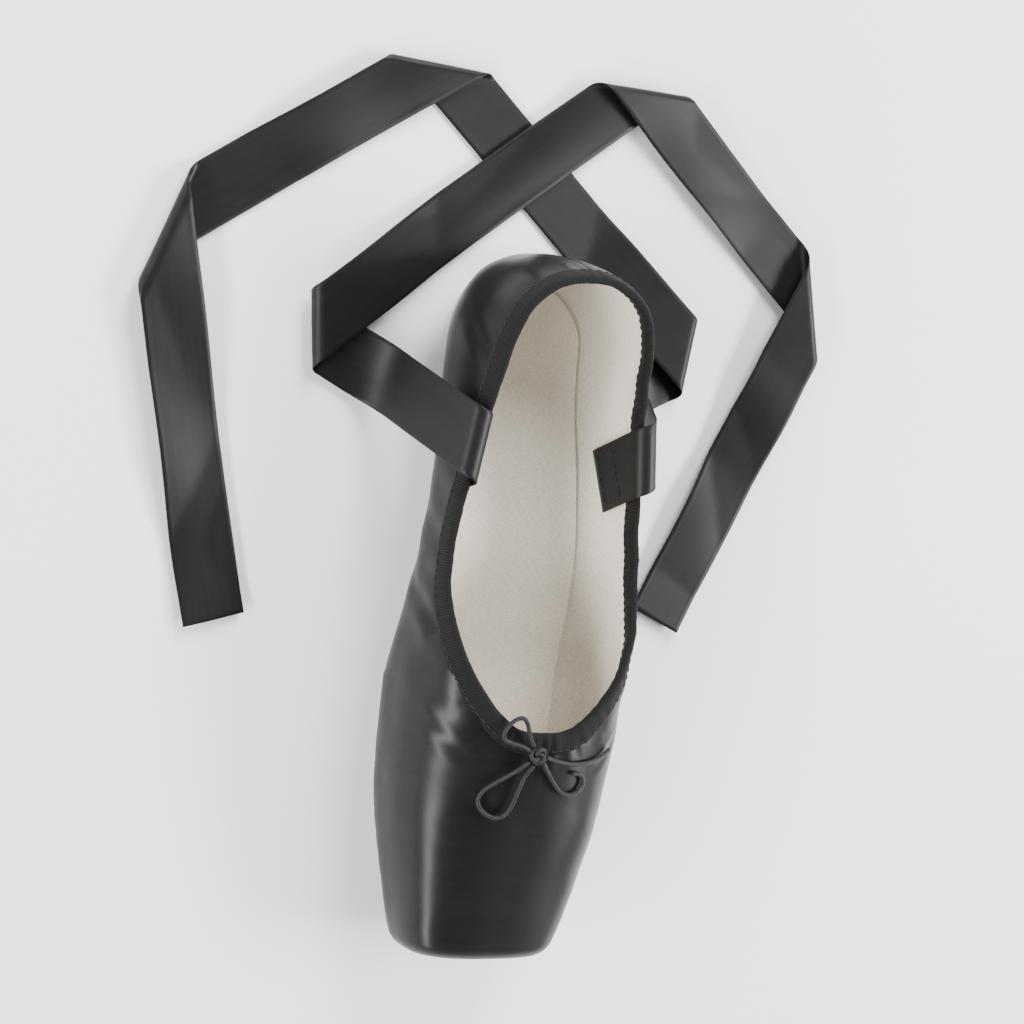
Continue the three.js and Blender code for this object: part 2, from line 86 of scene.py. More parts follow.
LAST = [
    dict(at=0.00, width=0.78, top=1.24, lift=0.0, widest=0.27, over=2.3, under=3.0),
    dict(at=0.14, width=0.79, top=1.22, lift=0.0, widest=0.28, over=2.3, under=3.0),
    dict(at=0.22, width=0.81, top=1.20, lift=0.6, widest=0.30, over=2.4, under=2.7),
    dict(at=0.32, width=0.86, top=1.17, lift=3.6, widest=0.34, over=2.6, under=2.3),
    dict(at=0.42, width=0.925, top=1.13, lift=4.6, widest=0.38, over=2.7, under=2.3),
    dict(at=0.52, width=0.975, top=1.09, lift=2.4, widest=0.38, over=2.7, under=2.7),
    dict(at=0.62, width=1.00, top=1.03, lift=0.0, widest=0.38, over=2.6, under=3.4),
    dict(at=0.70, width=0.998, top=0.985, lift=0.0, widest=0.39, over=2.6, under=3.6),
    dict(at=0.76, width=0.975, top=0.945, lift=0.0, widest=0.40, over=2.6, under=3.6),
    dict(at=0.81, width=0.94, top=0.91, lift=0.3, widest=0.41, over=2.7, under=3.4),
    dict(at=0.86, width=0.885, top=0.87, lift=1.2, widest=0.42, over=2.7, under=3.2),
    dict(at=0.91, width=0.82, top=0.825, lift=2.6, widest=0.43, over=2.8, under=3.0),
    dict(at=0.96, width=0.745, top=0.78, lift=4.0, widest=0.45, over=2.8, under=3.0),
    dict(at=1.00, width=0.67, top=0.74, lift=5.2, widest=0.46, over=2.8, under=2.8),
]

COLLAR = [
    dict(at=0, height=52),
    dict(at=25, height=47),
    dict(at=45, height=42.5),
    dict(at=65, height=39.6),
    dict(at=90, height=38),
    dict(at=108, height=39.2),
    dict(at=120, height=43),
    dict(at=131, height=47.4),
    dict(at=139, height=50.3),
    dict(at=146, height=52.7),
    dict(at=152, height=54.5),
    dict(at=157, height=55.7),
    dict(at=161, height=56.4),
    dict(at=164, height=57),
    dict(at=167, height=58.2),
]

SOLE = [
    dict(at=0.00, half=25),
    dict(at=0.14, half=25),
    dict(at=0.30, half=20.5),
    dict(at=0.44, half=19),
    dict(at=0.60, half=26),
    dict(at=0.73, half=31),
    dict(at=0.86, half=29.5),
    dict(at=1.00, half=25),
]
print("the last has", len(LAST), "sections and is", round(LENGTH / MM), "mm long")

# %% [markdown]
# A table gives a value only at its own rows. Between them the shoe has to be smooth, but it must
# not swell past a row, which an ordinary spline does. A Hermite curve whose slope at each row is
# the harmonic mean of its neighbours' slopes never overshoots, so that is the one used here.

# %% Read a smooth curve through one column of a table


def read(table, key, at):
    """The column's value at every number in at, smooth and never past its rows."""
    rows = np.array([row["at"] for row in table], float)
    values = np.array([row[key] for row in table], float)
    slopes = np.diff(values) / np.diff(rows)
    before, after = slopes[:-1], slopes[1:]
    same_way = before * after > 0
    total = np.where(same_way, before + after, 1.0)
    inner = np.where(same_way, 2 * before * after / total, 0.0)
    bend = np.concatenate([slopes[:1], inner, slopes[-1:]])
    at = np.clip(at, rows[0], rows[-1])
    i = np.clip(np.searchsorted(rows, at, "right") - 1, 0, len(rows) - 2)
    span = rows[i + 1] - rows[i]
    t = (at - rows[i]) / span
    rest = 1 - t
    ends = values[i] * (1 + 2 * t) * rest**2 + values[i + 1] * (1 + 2 * rest) * t**2
    return ends + span * (bend[i] * t * rest**2 - bend[i + 1] * rest * t**2)


def rounded(share, power):
    """A quarter of a superellipse: 0 at the edge, 1 from a share of 1 inwards."""
    inside = 1 - np.clip(share, 0, 1)
    return (1 - inside**power) ** (1 / power)


print("at the ball the last is", round(80 * float(read(LAST, "width", 0.7)), 1), "mm wide")

# %% [markdown]
# ## The form of the shoe
# Each section is a superellipse, an oval that can be squarer above than below. It closes in at
# the heel in a rounded cup, and at the toe in a short rounding before the flat platform.

# %% The last as a surface


def section(x, inset=0.0):
    """Half width, heights above and below the widest level, that level, and both powers."""
    at = (x - HEEL_X) / LENGTH
    base = SOLE_THICKNESS + SOLE_GAP + read(LAST, "lift", at) * MM
    crown = read(LAST, "top", at) * INSTEP_HEIGHT
    middle = base + (crown - base) * read(LAST, "widest", at)
    from_heel = np.maximum(0, x - HEEL_X - inset)
    to_tip = np.maximum(0, TOE_X - x - inset)
    plan = rounded(from_heel / (HEEL_ROUND_PLAN - inset), HEEL_POWER)
    upper = rounded(from_heel / (HEEL_ROUND_TOP - inset), 2)
    lower = rounded(from_heel / (HEEL_ROUND_LOW - inset), 2)
    corner = PLATFORM_ROUND - inset
    tip = corner * (1 - rounded(to_tip / corner, 2))
    return {
        "half": (read(LAST, "width", at) * BALL_WIDTH / 2 - inset - tip) * plan,
        "above": (crown - inset - tip - middle) * upper,
        "below": (middle - base - inset - tip) * lower,
        "middle": middle,
        "over": read(LAST, "over", at),
        "under": read(LAST, "under", at),
    }


def around(x, angle, inset=0.0):
    """Points at an angle round the sections, 0 at the left side and a quarter turn at the top."""
    s = section(x, inset)
    c, n = np.cos(angle), np.sin(angle)
    power = 2 / np.where(n >= 0, s["over"], s["under"])
    y = np.sign(c) * s["half"] * np.abs(c) ** power
    z = s["middle"] + np.where(n >= 0, s["above"], -s["below"]) * np.abs(n) ** power
    return np.stack([x + 0 * y, y, z], axis=-1)


def height_at(x, y, inset=0.0, upward=False):
    """The height of the last's underside or top at a place in plan."""
    s = section(x, inset)
    power = s["over"] if upward else s["under"]
    share = np.clip(1 - (np.abs(y) / s["half"]) ** power, 0, 1) ** (1 / power)
    return s["middle"] + (s["above"] if upward else -s["below"]) * share


def collar_height(x):
    """How high the upper's edge stands at x."""
    return read(COLLAR, "height", (x - HEEL_X) / MM) * MM


print("vamp's top at the throat:", round(float(height_at(44 * MM, 0.0, 0.0, True)) / MM, 1), "mm")

# %% [markdown]
# Most pieces of this shoe are grids of points: rows along it and columns across or around. These
# helpers turn a grid into a mesh. They also write a UV map measured in metres along the cloth,
# because a weave must have the same scale on every piece and follow the way it was cut.

# %% Make a mesh from a grid


def smooth_piece(name, mesh):
    """An object in the scene that shows a mesh, shaded smoothly."""
    mesh.polygons.foreach_set("use_smooth", [True] * len(mesh.polygons))
    mesh.update()
    piece = bpy.data.objects.new(name, mesh)
    bpy.context.scene.collection.objects.link(piece)
    return piece


def cloth_map(grid):
    """How far along the cloth each row of a grid is, and how far across each column, in metres."""
    along = np.linalg.norm(np.diff(grid, axis=0), axis=2).mean(axis=1)
    across = np.linalg.norm(np.diff(grid, axis=1), axis=2).mean(axis=0)
    return np.append(0, np.cumsum(along)), np.append(0, np.cumsum(across))


def grid_piece(name, grid, keep=None, closed_rows=False, closed_columns=False):
    """A smooth mesh over a grid. keep says which of its faces are kept."""
    rows, columns = grid.shape[:2]
    i = np.arange(rows if closed_rows else rows - 1)
    j = np.arange(columns if closed_columns else columns - 1)
    i, j = np.meshgrid(i, j, indexing="ij")
    next_i, next_j = (i + 1) % rows, (j + 1) % columns
    corners = [(i, j), (i, next_j), (next_i, next_j), (next_i, j)]
    faces = np.stack([a * columns + b for a, b in corners], axis=-1).reshape(-1, 4)
    along, across = cloth_map(grid)
    u = np.stack([along[a] for a, _ in corners], axis=-1)
    v = np.stack([across[b] for _, b in corners], axis=-1)
    # The last strip of a closed grid ends a step past its last row, not back at 0.
    u = np.where((i == rows - 1)[..., None] & (u == 0), along[-1] + along[1], u)
    v = np.where((j == columns - 1)[..., None] & (v == 0), across[-1] + across[1], v)
    uv = np.stack([u, v], axis=-1).reshape(-1, 4, 2)
    if keep is not None:
        chosen = keep[i, j].reshape(-1)
        faces, uv = faces[chosen], uv[chosen]
    used, faces = np.unique(faces, return_inverse=True)
    mesh = bpy.data.meshes.new(name)
    mesh.from_pydata(grid.reshape(-1, 3)[used].tolist(), [], faces.reshape(-1, 4).tolist())
    mesh.uv_layers.new(name="cloth").data.foreach_set("uv", uv.reshape(-1))
    return smooth_piece(name, mesh)


def dress(piece, material, slot, *nodes):
    """Give a piece its finish, fix it to the shoe and let it stand for its solids."""
    piece.data.materials.append(material)
    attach(piece, "root")
    if nodes:
        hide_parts(*nodes)
    return piece


# %% [markdown]
# ## Finishes
# Satin is a weave whose long floats lie side by side, so it is smooth one way and catches light
# across them in soft bands. A plain glossy black would look like plastic. Here the shader is a
# rough black with some anisotropy and sheen, and two very fine stretched noises in its bump
# stand for the floats. A broader noise shifts the roughness, as handling does.

# %% Helpers for materials


def new_material(name, colour, roughness, **sockets):
    """A shader of one colour, with any other of its sockets set by name."""
    material = bpy.data.materials.new(name)
    material.use_nodes = True
    shader = material.node_tree.nodes["Principled BSDF"]
    shader.inputs["Base Color"].default_value = (*colour, 1)
    shader.inputs["Roughness"].default_value = roughness
    for socket, value in sockets.items():
        shader.inputs[socket.replace("_", " ")].default_value = value
    return material


def add_node(material, kind, settings=None, **inputs):
    """A shader node with its settings, and with values or other nodes' outputs as inputs."""
    node = material.node_tree.nodes.new("ShaderNode" + kind)
    for key, value in (settings or {}).items():
        setattr(node, key, value)
    for key, value in inputs.items():
        socket = node.inputs[key.replace("_", " ")]
        if isinstance(value, bpy.types.NodeSocket):
            material.node_tree.links.new(value, socket)
        else:
            socket.default_value = value
    return node


def cloth_coordinates(material, along, across):
    """The UV map in metres, scaled to so many repeats a metre each way."""
    place = add_node(material, "UVMap", {"uv_map": "cloth"})
    mapping = add_node(material, "Mapping", Vector=place.outputs["UV"], Scale=(along, across, 1))
    return mapping.outputs["Vector"]


def object_coordinates(material):
    """Places in the object's own metres, for marks that don't follow the weave."""
    return add_node(material, "TexCoord").outputs["Object"]


def mottling(material, place, scale, detail):
    """Noise between 0 and 1 at the coordinates given."""
    return add_node(material, "TexNoise", Vector=place, Scale=scale, Detail=detail).outputs["Fac"]


def band(material, value, low, high, to_low, to_high):
    """Carry a value from one range to another, and no further."""
    ranges = {"From_Min": low, "From_Max": high, "To_Min": to_low, "To_Max": to_high}
    return add_node(material, "MapRange", Value=value, **ranges).outputs["Result"]


def mixed(material, blend, share, first, second):
    """The second colour blended into the first, or multiplying it, by a share."""
    colours = dict(Fac=share, Color1=first, Color2=second)
    return add_node(material, "MixRGB", {"blend_type": blend}, **colours).outputs["Color"]


def two_tones(material, share, colour, dark, light):
    """The colour times dark where share is 0, and times light where it is 1."""
    low, high = [(*[min(1, c * strength) for c in colour], 1) for strength in (dark, light)]
    return mixed(material, "MIX", share, low, high)


def bump(material, height, distance, strength, under=None):
    """Raise the surface by a height times a distance, over what another bump does to it."""
    node = add_node(material, "Bump", Height=height, Distance=distance, Strength=strength)
    if under is not None:
        material.node_tree.links.new(under.outputs["Normal"], node.inputs["Normal"])
    return node


def finish_with(material, **sockets):
    """Link outputs to the shader's own sockets."""
    shader = material.node_tree.nodes["Principled BSDF"]
    for key, output in sockets.items():
        material.node_tree.links.new(output, shader.inputs[key.replace("_", " ")])


# %% Satin
FLOATS_A_METRE = (420, 5200)  # along the floats, across them
FLOATS_IN_A_SLUB = 14


def satin(name, colour, roughness, sheen, floats_along):
    """Satin whose floats run along the cloth's first or second direction."""
    gloss = dict(Sheen_Weight=sheen, Sheen_Roughness=0.35, Anisotropic=0.4, Specular_IOR_Level=0.2)
    material = new_material(name, colour, roughness, **gloss)
    scales = FLOATS_A_METRE if floats_along else FLOATS_A_METRE[::-1]
    slub_scales = [scale / FLOATS_IN_A_SLUB for scale in scales]
    floats = mottling(material, cloth_coordinates(material, *scales), 1.0, 2.0)
    slubs = mottling(material, cloth_coordinates(material, *slub_scales), 1.0, 3.0)
    handled = mottling(material, object_coordinates(material), 34.0, 4.0)
    dull = band(material, handled, 0.3, 0.7, roughness - 0.05, roughness + 0.07)
    tone = two_tones(material, band(material, slubs, 0.3, 0.7, 0.0, 1.0), colour, 0.85, 1.15)
    weave = bump(material, floats, 0.05 * MM, 0.5)
    soft = bump(material, slubs, 0.03 * MM, 0.5, weave)
    tangent = add_node(material, "Tangent", {"direction_type": "UV_MAP", "uv_map": "cloth"})
    finish_with(
        material,
        Base_Color=tone,
        Roughness=dull,
        Normal=soft.outputs["Normal"],
        Tangent=tangent.outputs["Tangent"],
    )
    return material


SATIN = satin("black_satin", (0.0060, 0.0057, 0.0064), 0.36, 0.02, floats_along=False)
RIBBON = satin("ribbon_satin", (0.0070, 0.0068, 0.0076), 0.42, 0.03, floats_along=True)
print("satins:", SATIN.name, RIBBON.name)

# %% [markdown]
# ## The camera and the lights
# The shoe stands on its sole and the camera looks down on its vamp from the right, so the toe
# points down in the picture. It is far away on a long lens, which keeps the box from swelling.
# Black satin shows little but what it reflects. A long, narrow lamp draws a bright line on it,
# where a broad one would turn it grey, and two softer lamps pick out the far side and the heel.

# %% Camera, floor and lights
AIM = Vector((-31 * MM, 0, 18 * MM))
TO_THE_RIGHT = math.radians(29)
TO_THE_HEEL = math.radians(5)
SHOE_LEANS = math.radians(-8)
CAMERA_AWAY = 0.87
LENS_LENGTH = 90
FLOOR_EDGE = 12.0
FLOOR_CORNERS = [(-1, -1), (1, -1), (1, 1), (-1, 1)]
CAMERA_FROM = Vector(
    (
        -math.sin(TO_THE_HEEL),
        -math.sin(TO_THE_RIGHT) * math.cos(TO_THE_HEEL),
        math.cos(TO_THE_RIGHT) * math.cos(TO_THE_HEEL),
    )
)


def aimed(piece, place, target, up=Vector((0, 0, 1))):
    """Stand a camera or light at a place, looking at a target with up towards the top."""
    back = (place - target).normalized()
    right = up.cross(back).normalized()
    above = back.cross(right)
    turn = Matrix((right, above, back)).transposed().to_4x4()
    piece.matrix_world = Matrix.Translation(place) @ turn
    bpy.context.scene.collection.objects.link(piece)
    return piece


lens = bpy.data.cameras.new("camera")
lens.lens = LENS_LENGTH
lens.clip_start = 0.01
picture_up = Vector((-math.cos(SHOE_LEANS), math.sin(SHOE_LEANS), 0))
camera = bpy.data.objects.new("camera", lens)
aimed(camera, AIM + CAMERA_FROM * CAMERA_AWAY, AIM, picture_up)
bpy.context.scene.camera = camera


def soft_light(name, place, size, power):
    """A rectangular lamp that faces the shoe."""
    lamp = bpy.data.lights.new(name, "AREA")
    lamp.shape = "RECTANGLE"
    lamp.size, lamp.size_y = size
    lamp.energy = power
    return aimed(bpy.data.objects.new(name, lamp), Vector(place), AIM)


soft_light("window", (0.42, -1.15, 0.62), (1.8, 0.20), 40)
soft_light("far_side", (0.05, 1.15, 0.85), (0.8, 0.35), 32)
soft_light("behind", (-1.25, 0.15, 0.9), (0.6, 0.9), 36)

# The studio is bright at the sides and dim overhead, so the vamp stays black and its edges shine.
world = bpy.data.worlds.new("studio")
world.use_nodes = True
tree = world.node_tree
direction = tree.nodes.new("ShaderNodeTexCoord")
upward = tree.nodes.new("ShaderNodeSeparateXYZ")
dimming = tree.nodes.new("ShaderNodeMapRange")
dimming.interpolation_type = "SMOOTHSTEP"
for socket, value in {"From Min": 0.45, "From Max": 0.9, "To Min": 1.0, "To Max": 0.3}.items():
    dimming.inputs[socket].default_value = value
tree.links.new(direction.outputs["Generated"], upward.inputs["Vector"])
tree.links.new(upward.outputs["Z"], dimming.inputs["Value"])
tree.nodes["Background"].inputs["Color"].default_value = (1.0, 1.0, 1.0, 1)
tree.links.new(dimming.outputs["Result"], tree.nodes["Background"].inputs["Strength"])
bpy.context.scene.world = world

FLOOR = new_material("pale_floor", (0.96, 0.96, 0.97), 0.6)
scuffed = mottling(FLOOR, object_coordinates(FLOOR), 3.0, 3.0)
finish_with(FLOOR, Roughness=band(FLOOR, scuffed, 0.3, 0.7, 0.5, 0.7))
floor_corners = [(x * FLOOR_EDGE, y * FLOOR_EDGE, 0) for x, y in FLOOR_CORNERS]
floor_mesh = bpy.data.meshes.new("floor")
floor_mesh.from_pydata(floor_corners, [], [(0, 1, 2, 3)])
floor = bpy.data.objects.new("floor", floor_mesh)
floor_mesh.materials.append(FLOOR)
bpy.context.scene.collection.objects.link(floor)
floor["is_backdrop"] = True
print("camera is", round((camera.location - AIM).length, 2), "m from the shoe")

# %% [markdown]
# ## The upper
# The satin could be cut out of a solid with a boolean, but that leaves ragged triangles where
# creases have to go. Here it is a grid instead: rings round the last from heel to toe, then rings
# that shrink over the flat platform. The faces above the collar and behind the sole are left out,
# and the bound edge and the outsole cover where they stop.

# %% Rings round the last
POLE_SHARE = 0.001  # how small the rings at the heel and in the platform's middle become


def stations(start, end, count, ends=0.5):
    """Places from start to end, closer together at both ends."""
    t = np.linspace(0, 1, count)
    eased = (1 - np.cos(np.pi * t)) / 2
    return start + (end - start) * ((1 - ends) * t + ends * eased)


def along_line(points, wanted):
    """Points at the wanted distances along a line of points."""
    steps = np.linalg.norm(np.diff(points, axis=0), axis=1)
    run = np.concatenate([[0], np.cumsum(steps)])
    columns = [np.interp(wanted * run[-1], run, points[:, k]) for k in range(3)]
    return np.stack(columns, axis=-1)


def even_ring(x, inset, count):
    """One section as points evenly spaced over its upper half, then over its lower half."""
    wanted = np.linspace(0, 1, count // 2, endpoint=False)
    halves = [np.linspace(start, start + np.pi, 500) for start in (0, np.pi)]
    return np.concatenate([along_line(around(x, angle, inset), wanted) for angle in halves])


def shrunk(ring, share):
    """A ring drawn in towards its own middle, to close an end."""
    middle = ring.mean(axis=0)
    return middle + (ring - middle) * share


def skin(inset, lengthwise, count, platform_rings):
    """The whole last as a grid of rings of points, closed at the heel and over the platform."""
    places = stations(HEEL_X + inset + 0.01 * MM, TOE_X - inset, lengthwise)
    rings = np.stack([even_ring(x, inset, count) for x in places])
    rim = rings[-1]
    middle = (rim.max(axis=0) + rim.min(axis=0)) / 2
    shares = np.linspace(1, POLE_SHARE, platform_rings + 1)[1:]
    platform = middle + (rim - middle) * shares[:, None, None]
    return np.concatenate([shrunk(rings[0], POLE_SHARE)[None], rings, platform])


def normals_of(grid):
    """Outward directions at the points of a grid of rings."""
    forward = np.gradient(grid, axis=0)
    round_it = np.roll(grid, -1, axis=1) - np.roll(grid, 1, axis=1)
    out = np.cross(round_it, forward)
    out /= np.maximum(np.linalg.norm(out, axis=2, keepdims=True), 1e-12)
    centre = grid.mean(axis=1, keepdims=True)
    facing = (out * (grid - centre)).sum(axis=2)[5:-30].mean()
    return out if facing > 0 else -out


OUTER = skin(inset=0.0, lengthwise=290, count=240, platform_rings=16)
OUTWARD = normals_of(OUTER)
print("the satin's grid:", OUTER.shape[0], "rings of", OUTER.shape[1])

# %% [markdown]
# The collar's line is where the wall ends. The bound edge follows it, the satin gathers along it,
# and the drawstring comes out of it, so it is worked out once, as evenly spaced points with a
# direction out of the wall at each.

# %% The collar's line


def collar_half(x):
    """Half the width of the opening, to the middle of the wall, or 0 where it has closed."""
    s = section(x, WALL / 2)
    share = (collar_height(x) - s["middle"]) / np.maximum(s["above"], 1e-9)
    return s["half"] * np.clip(1 - np.clip(share, 0, 1) ** s["over"], 0, 1) ** (1 / s["over"])


def collar_line(count):
    """Evenly spaced points round the collar, from the throat along the left side."""
    x = np.arange(HEEL_X, TOE_X, 0.02 * MM)
    x = x[collar_half(x) > 0]
    turn = np.linspace(0, np.pi, 400)
    x = x[-1] + (x[0] - x[-1]) * (1 - np.cos(turn)) / 2
    half = collar_half(x)
    half[[0, -1]] = 0
    left = np.stack([x, half, collar_height(x)], axis=-1)
    right = left[::-1] * [1, -1, 1]
    wanted = np.linspace(0, 1, count, endpoint=False)
    return along_line(np.concatenate([left, right[1:]]), wanted)


def wall_direction(points):
    """The direction straight out of the wall at points on or near it."""

    def level(p):
        s = section(p[..., 0], WALL / 2)
        up = np.clip(p[..., 2] - s["middle"], 0, None) / np.maximum(s["above"], 1e-9)
        return (np.abs(p[..., 1]) / np.maximum(s["half"], 1e-9)) ** s["over"] + up ** s["over"]

    step = 0.05 * MM
    slopes = [level(points + step * unit) - level(points - step * unit) for unit in np.eye(3)]
    out = np.stack(slopes, axis=-1)
    return out / np.linalg.norm(out, axis=-1, keepdims=True)


COLLAR_POINTS = collar_line(count=900)
COLLAR_ALONG = np.roll(COLLAR_POINTS, -1, axis=0) - np.roll(COLLAR_POINTS, 1, axis=0)
COLLAR_ALONG /= np.linalg.norm(COLLAR_ALONG, axis=1, keepdims=True)
COLLAR_OUT = wall_direction(COLLAR_POINTS)
COLLAR_OUT -= (COLLAR_OUT * COLLAR_ALONG).sum(axis=1, keepdims=True) * COLLAR_ALONG
COLLAR_OUT /= np.linalg.norm(COLLAR_OUT, axis=1, keepdims=True)
COLLAR_UP = np.cross(COLLAR_OUT, COLLAR_ALONG)
COLLAR_UP *= np.sign(COLLAR_UP[:, 2:])
COLLAR_STEP = float(np.linalg.norm(COLLAR_POINTS[1] - COLLAR_POINTS[0]))
COLLAR_RUN = COLLAR_STEP * len(COLLAR_POINTS)
print("the collar is", round(COLLAR_RUN / MM), "mm round")

# %% [markdown]
# ## Creases
# A satin upper is never a clean shell. The drawstring pulls the cloth into short gathers along
# the collar, tight at the throat and loose on the quarters. Soft troughs fan out where the stiff
# box ends and the quarter bends. They are listed in the shoe's own sizes: x in
# millimetres from the middle, up in degrees round the section, 0 at the side and 90 at the top.

# %% Troughs and ridges, listed
CREASES = [
    dict(x=(39, 15), up=(50, -4), deep=0.28, wide=3.2, sides="both"),
    dict(x=(30, 4), up=(42, -14), deep=0.28, wide=3.6, sides="both"),
    dict(x=(47, 33), up=(58, 14), deep=0.28, wide=2.2, sides="right"),
    dict(x=(50, 30), up=(60, 20), deep=0.35, wide=1.8, sides="left"),
    dict(x=(12, -14), up=(32, -22), deep=0.55, wide=2.8, sides="right"),
    dict(x=(8, -20), up=(30, -26), deep=0.50, wide=3.0, sides="left"),
    dict(x=(-14, -36), up=(26, -24), deep=0.50, wide=3.2, sides="both"),
    dict(x=(-40, -58), up=(28, -14), deep=0.40, wide=3.2, sides="right"),
    dict(x=(-44, -66), up=(24, -18), deep=0.40, wide=3.0, sides="left"),
    dict(x=(-78, -96), up=(30, 2), deep=0.35, wide=2.6, sides="both"),
    dict(x=(58, 66), up=(20, -16), deep=0.22, wide=2.4, sides="right"),
    dict(x=(62, 72), up=(64, 26), deep=0.18, wide=3.0, sides="left"),
]
BOTH_SIDES = {"both": (1, -1), "left": (1,), "right": (-1,)}


def nearest(points, line):
    """The distance from each point to a line of points, and the nearest one's number."""
    from_line = np.empty(len(points))
    number = np.empty(len(points), int)
    for start in range(0, len(points), 4000):
        part = points[start : start + 4000]
        squares = ((part[:, None] - line[None]) ** 2).sum(axis=2)
        number[start : start + 4000] = squares.argmin(axis=1)
        from_line[start : start + 4000] = np.sqrt(squares.min(axis=1))
    return from_line, number


def creased(points):
    """How far the listed creases push the cloth out at each point."""
    push = np.zeros(len(points))
    share = np.linspace(0, 1, 40)
    for crease in CREASES:
        x = (crease["x"][0] + (crease["x"][1] - crease["x"][0]) * share) * MM
        up = np.radians(crease["up"][0] + (crease["up"][1] - crease["up"][0]) * share)
        for side in BOTH_SIDES[crease["sides"]]:
            line = around(x, up) * [1, side, 1]
            away, number = nearest(points, line)
            fade = np.sin(np.pi * np.clip(share[number] * 0.86 + 0.1, 0, 1))
            wide = crease["wide"] * MM
            trough = np.exp(-((away / wide) ** 2))
            ridge = np.exp(-(((away - 1.9 * wide) / (0.9 * wide)) ** 2))
            push += crease["deep"] * MM * fade * (0.45 * ridge - trough)
    return push


print("creases placed:", sum(len(BOTH_SIDES[c["sides"]]) for c in CREASES))

# %% [markdown]
# Gathers are a wave along the collar that dies away below it. A plain sine looks machined, so its
# phase and strength wander slowly. Round the toe of the sole the satin is pleated to take up its
# fullness: narrow valleys between flat folds, at even angles round the tip.

# %% Gathers, seams and pleats
SOLE_FROM = HEEL_X + 5 * MM
SOLE_TO = TOE_X - 17 * MM
SOLE_HEEL_ROUND = 26 * MM
SOLE_TOE_ROUND = 24 * MM
FINE_GATHERS = dict(deep=0.26 * MM, reach=5.5 * MM, pitch=4.6 * MM)
LOOSE_GATHERS = dict(deep=0.50 * MM, reach=11 * MM, pitch=12.5 * MM)
THROAT_REACH = 34 * MM
SEAM_X = 23 * MM
SEAM_LEAN = 0.22
LAP = 0.35 * MM
SEAM_DEEP = 0.22 * MM
BACK_SEAM_DEEP = 0.30 * MM
BACK_SEAM_RIDGE = 0.22 * MM
PLEAT_CENTRE = SOLE_TO - 30 * MM
PLEATS = 17  # in the half turn round the tip


def sole_half(x, inset=0.0):
    """Half the outsole's width at x, its ends rounded in plan."""
    share = (x - SOLE_FROM) / (SOLE_TO - SOLE_FROM)
    heel = rounded((x - SOLE_FROM - inset) / SOLE_HEEL_ROUND, 2.2)
    toe = rounded((SOLE_TO - inset - x) / SOLE_TOE_ROUND, 2.4)
    return (read(SOLE, "half", share) * MM - inset) * heel * toe


def wandering(run, pitch):
    """A wave of about this pitch whose phase and strength wander."""
    turn = 2 * np.pi * run / pitch
    return np.sin(turn + 1.3 * np.sin(turn / 4.3)) * (0.65 + 0.35 * np.sin(turn / 2.7 + 1))


def near_throat(run, reach):
    """1 at the throat and near 0 past its reach, for distances run along the collar."""
    return np.exp(-((np.minimum(run, COLLAR_RUN - run) / reach) ** 2))


def gathers(away, run, deep, reach, pitch):
    """A wandering wave along the collar that dies away below it."""
    return deep * np.exp(-away / reach) * wandering(run, pitch)


def gathered(points):
    """Gathers along the collar: fine at the throat, wider and softer on the quarters."""
    away, number = nearest(points, COLLAR_POINTS)
    run = number * COLLAR_STEP
    at_throat = near_throat(run, THROAT_REACH)
    fine = gathers(away, run, **FINE_GATHERS)
    loose = gathers(away, run, **LOOSE_GATHERS)
    return at_throat * fine + (1 - at_throat) * loose


def seamed(points):
    """The side seams, where the vamp laps over the quarters, and the back seam."""
    x, y, z = points.T
    ahead = (x - SEAM_X + SEAM_LEAN * (z - 25 * MM)) / MM
    lap = LAP / (1 + np.exp(-ahead / 0.25)) * np.exp(-np.clip(ahead, 0, None) / 9)
    groove = -SEAM_DEEP * np.exp(-((ahead / 0.6) ** 2))
    on_side = np.clip((np.abs(y) - 20 * MM) / (4 * MM), 0, 1)
    seam = -BACK_SEAM_DEEP * np.exp(-((y / (0.7 * MM)) ** 2))
    back = seam + BACK_SEAM_RIDGE * np.exp(-((y / (3 * MM)) ** 2))
    return on_side * (lap + groove) + back * np.clip((HEEL_X + 14 * MM - x) / (4 * MM), 0, 1)


def pleated(points, outward):
    """Pleats on the underside, fanning round the tip of the sole."""
    x, y, _ = points.T
    fan = np.arctan2(y, x - PLEAT_CENTRE)
    edge_x = np.linspace(PLEAT_CENTRE, SOLE_TO, 60)
    edge = np.concatenate([np.stack([edge_x, s * sole_half(edge_x)], axis=-1) for s in (1, -1)])
    away, _ = nearest(np.stack([x, y, 0 * x], -1), np.pad(edge, ((0, 0), (0, 1))))
    inside = np.abs(y) < sole_half(np.clip(x, SOLE_FROM, SOLE_TO))
    away = np.where(inside & (x < SOLE_TO), 0, away)
    valley = np.abs(np.cos(PLEATS * fan + 0.8 * np.sin(3 * fan))) ** 5
    below = np.clip((-outward[:, 2] - 0.25) / 0.4, 0, 1)
    ahead = np.clip((x - PLEAT_CENTRE) / (12 * MM), 0, 1)
    return (0.25 - 1.15 * valley) * MM * np.exp(-((away / (8 * MM)) ** 2)) * below * ahead


def uneven(points):
    """The slight unevenness of cloth over a hand-made box."""
    places = [Vector(point) for point in points.tolist()]
    wide, close = [np.array([noise.noise(p * swells) for p in places]) for swells in (38, 110)]
    return wide * 0.28 * MM + close * 0.10 * MM


points, outward = OUTER.reshape(-1, 3), OUTWARD.reshape(-1, 3)
push = creased(points) + gathered(points) + seamed(points) + uneven(points)
push += pleated(points, outward)
SATIN_SKIN = (points + outward * push[:, None]).reshape(OUTER.shape)
print("the satin moves from", round(push.min() / MM, 2), "to", round(push.max() / MM, 2), "mm")

# %% Leave the collar and the sole open
UNDERSIDE = 16 * MM  # what lies on the outsole is lower than this


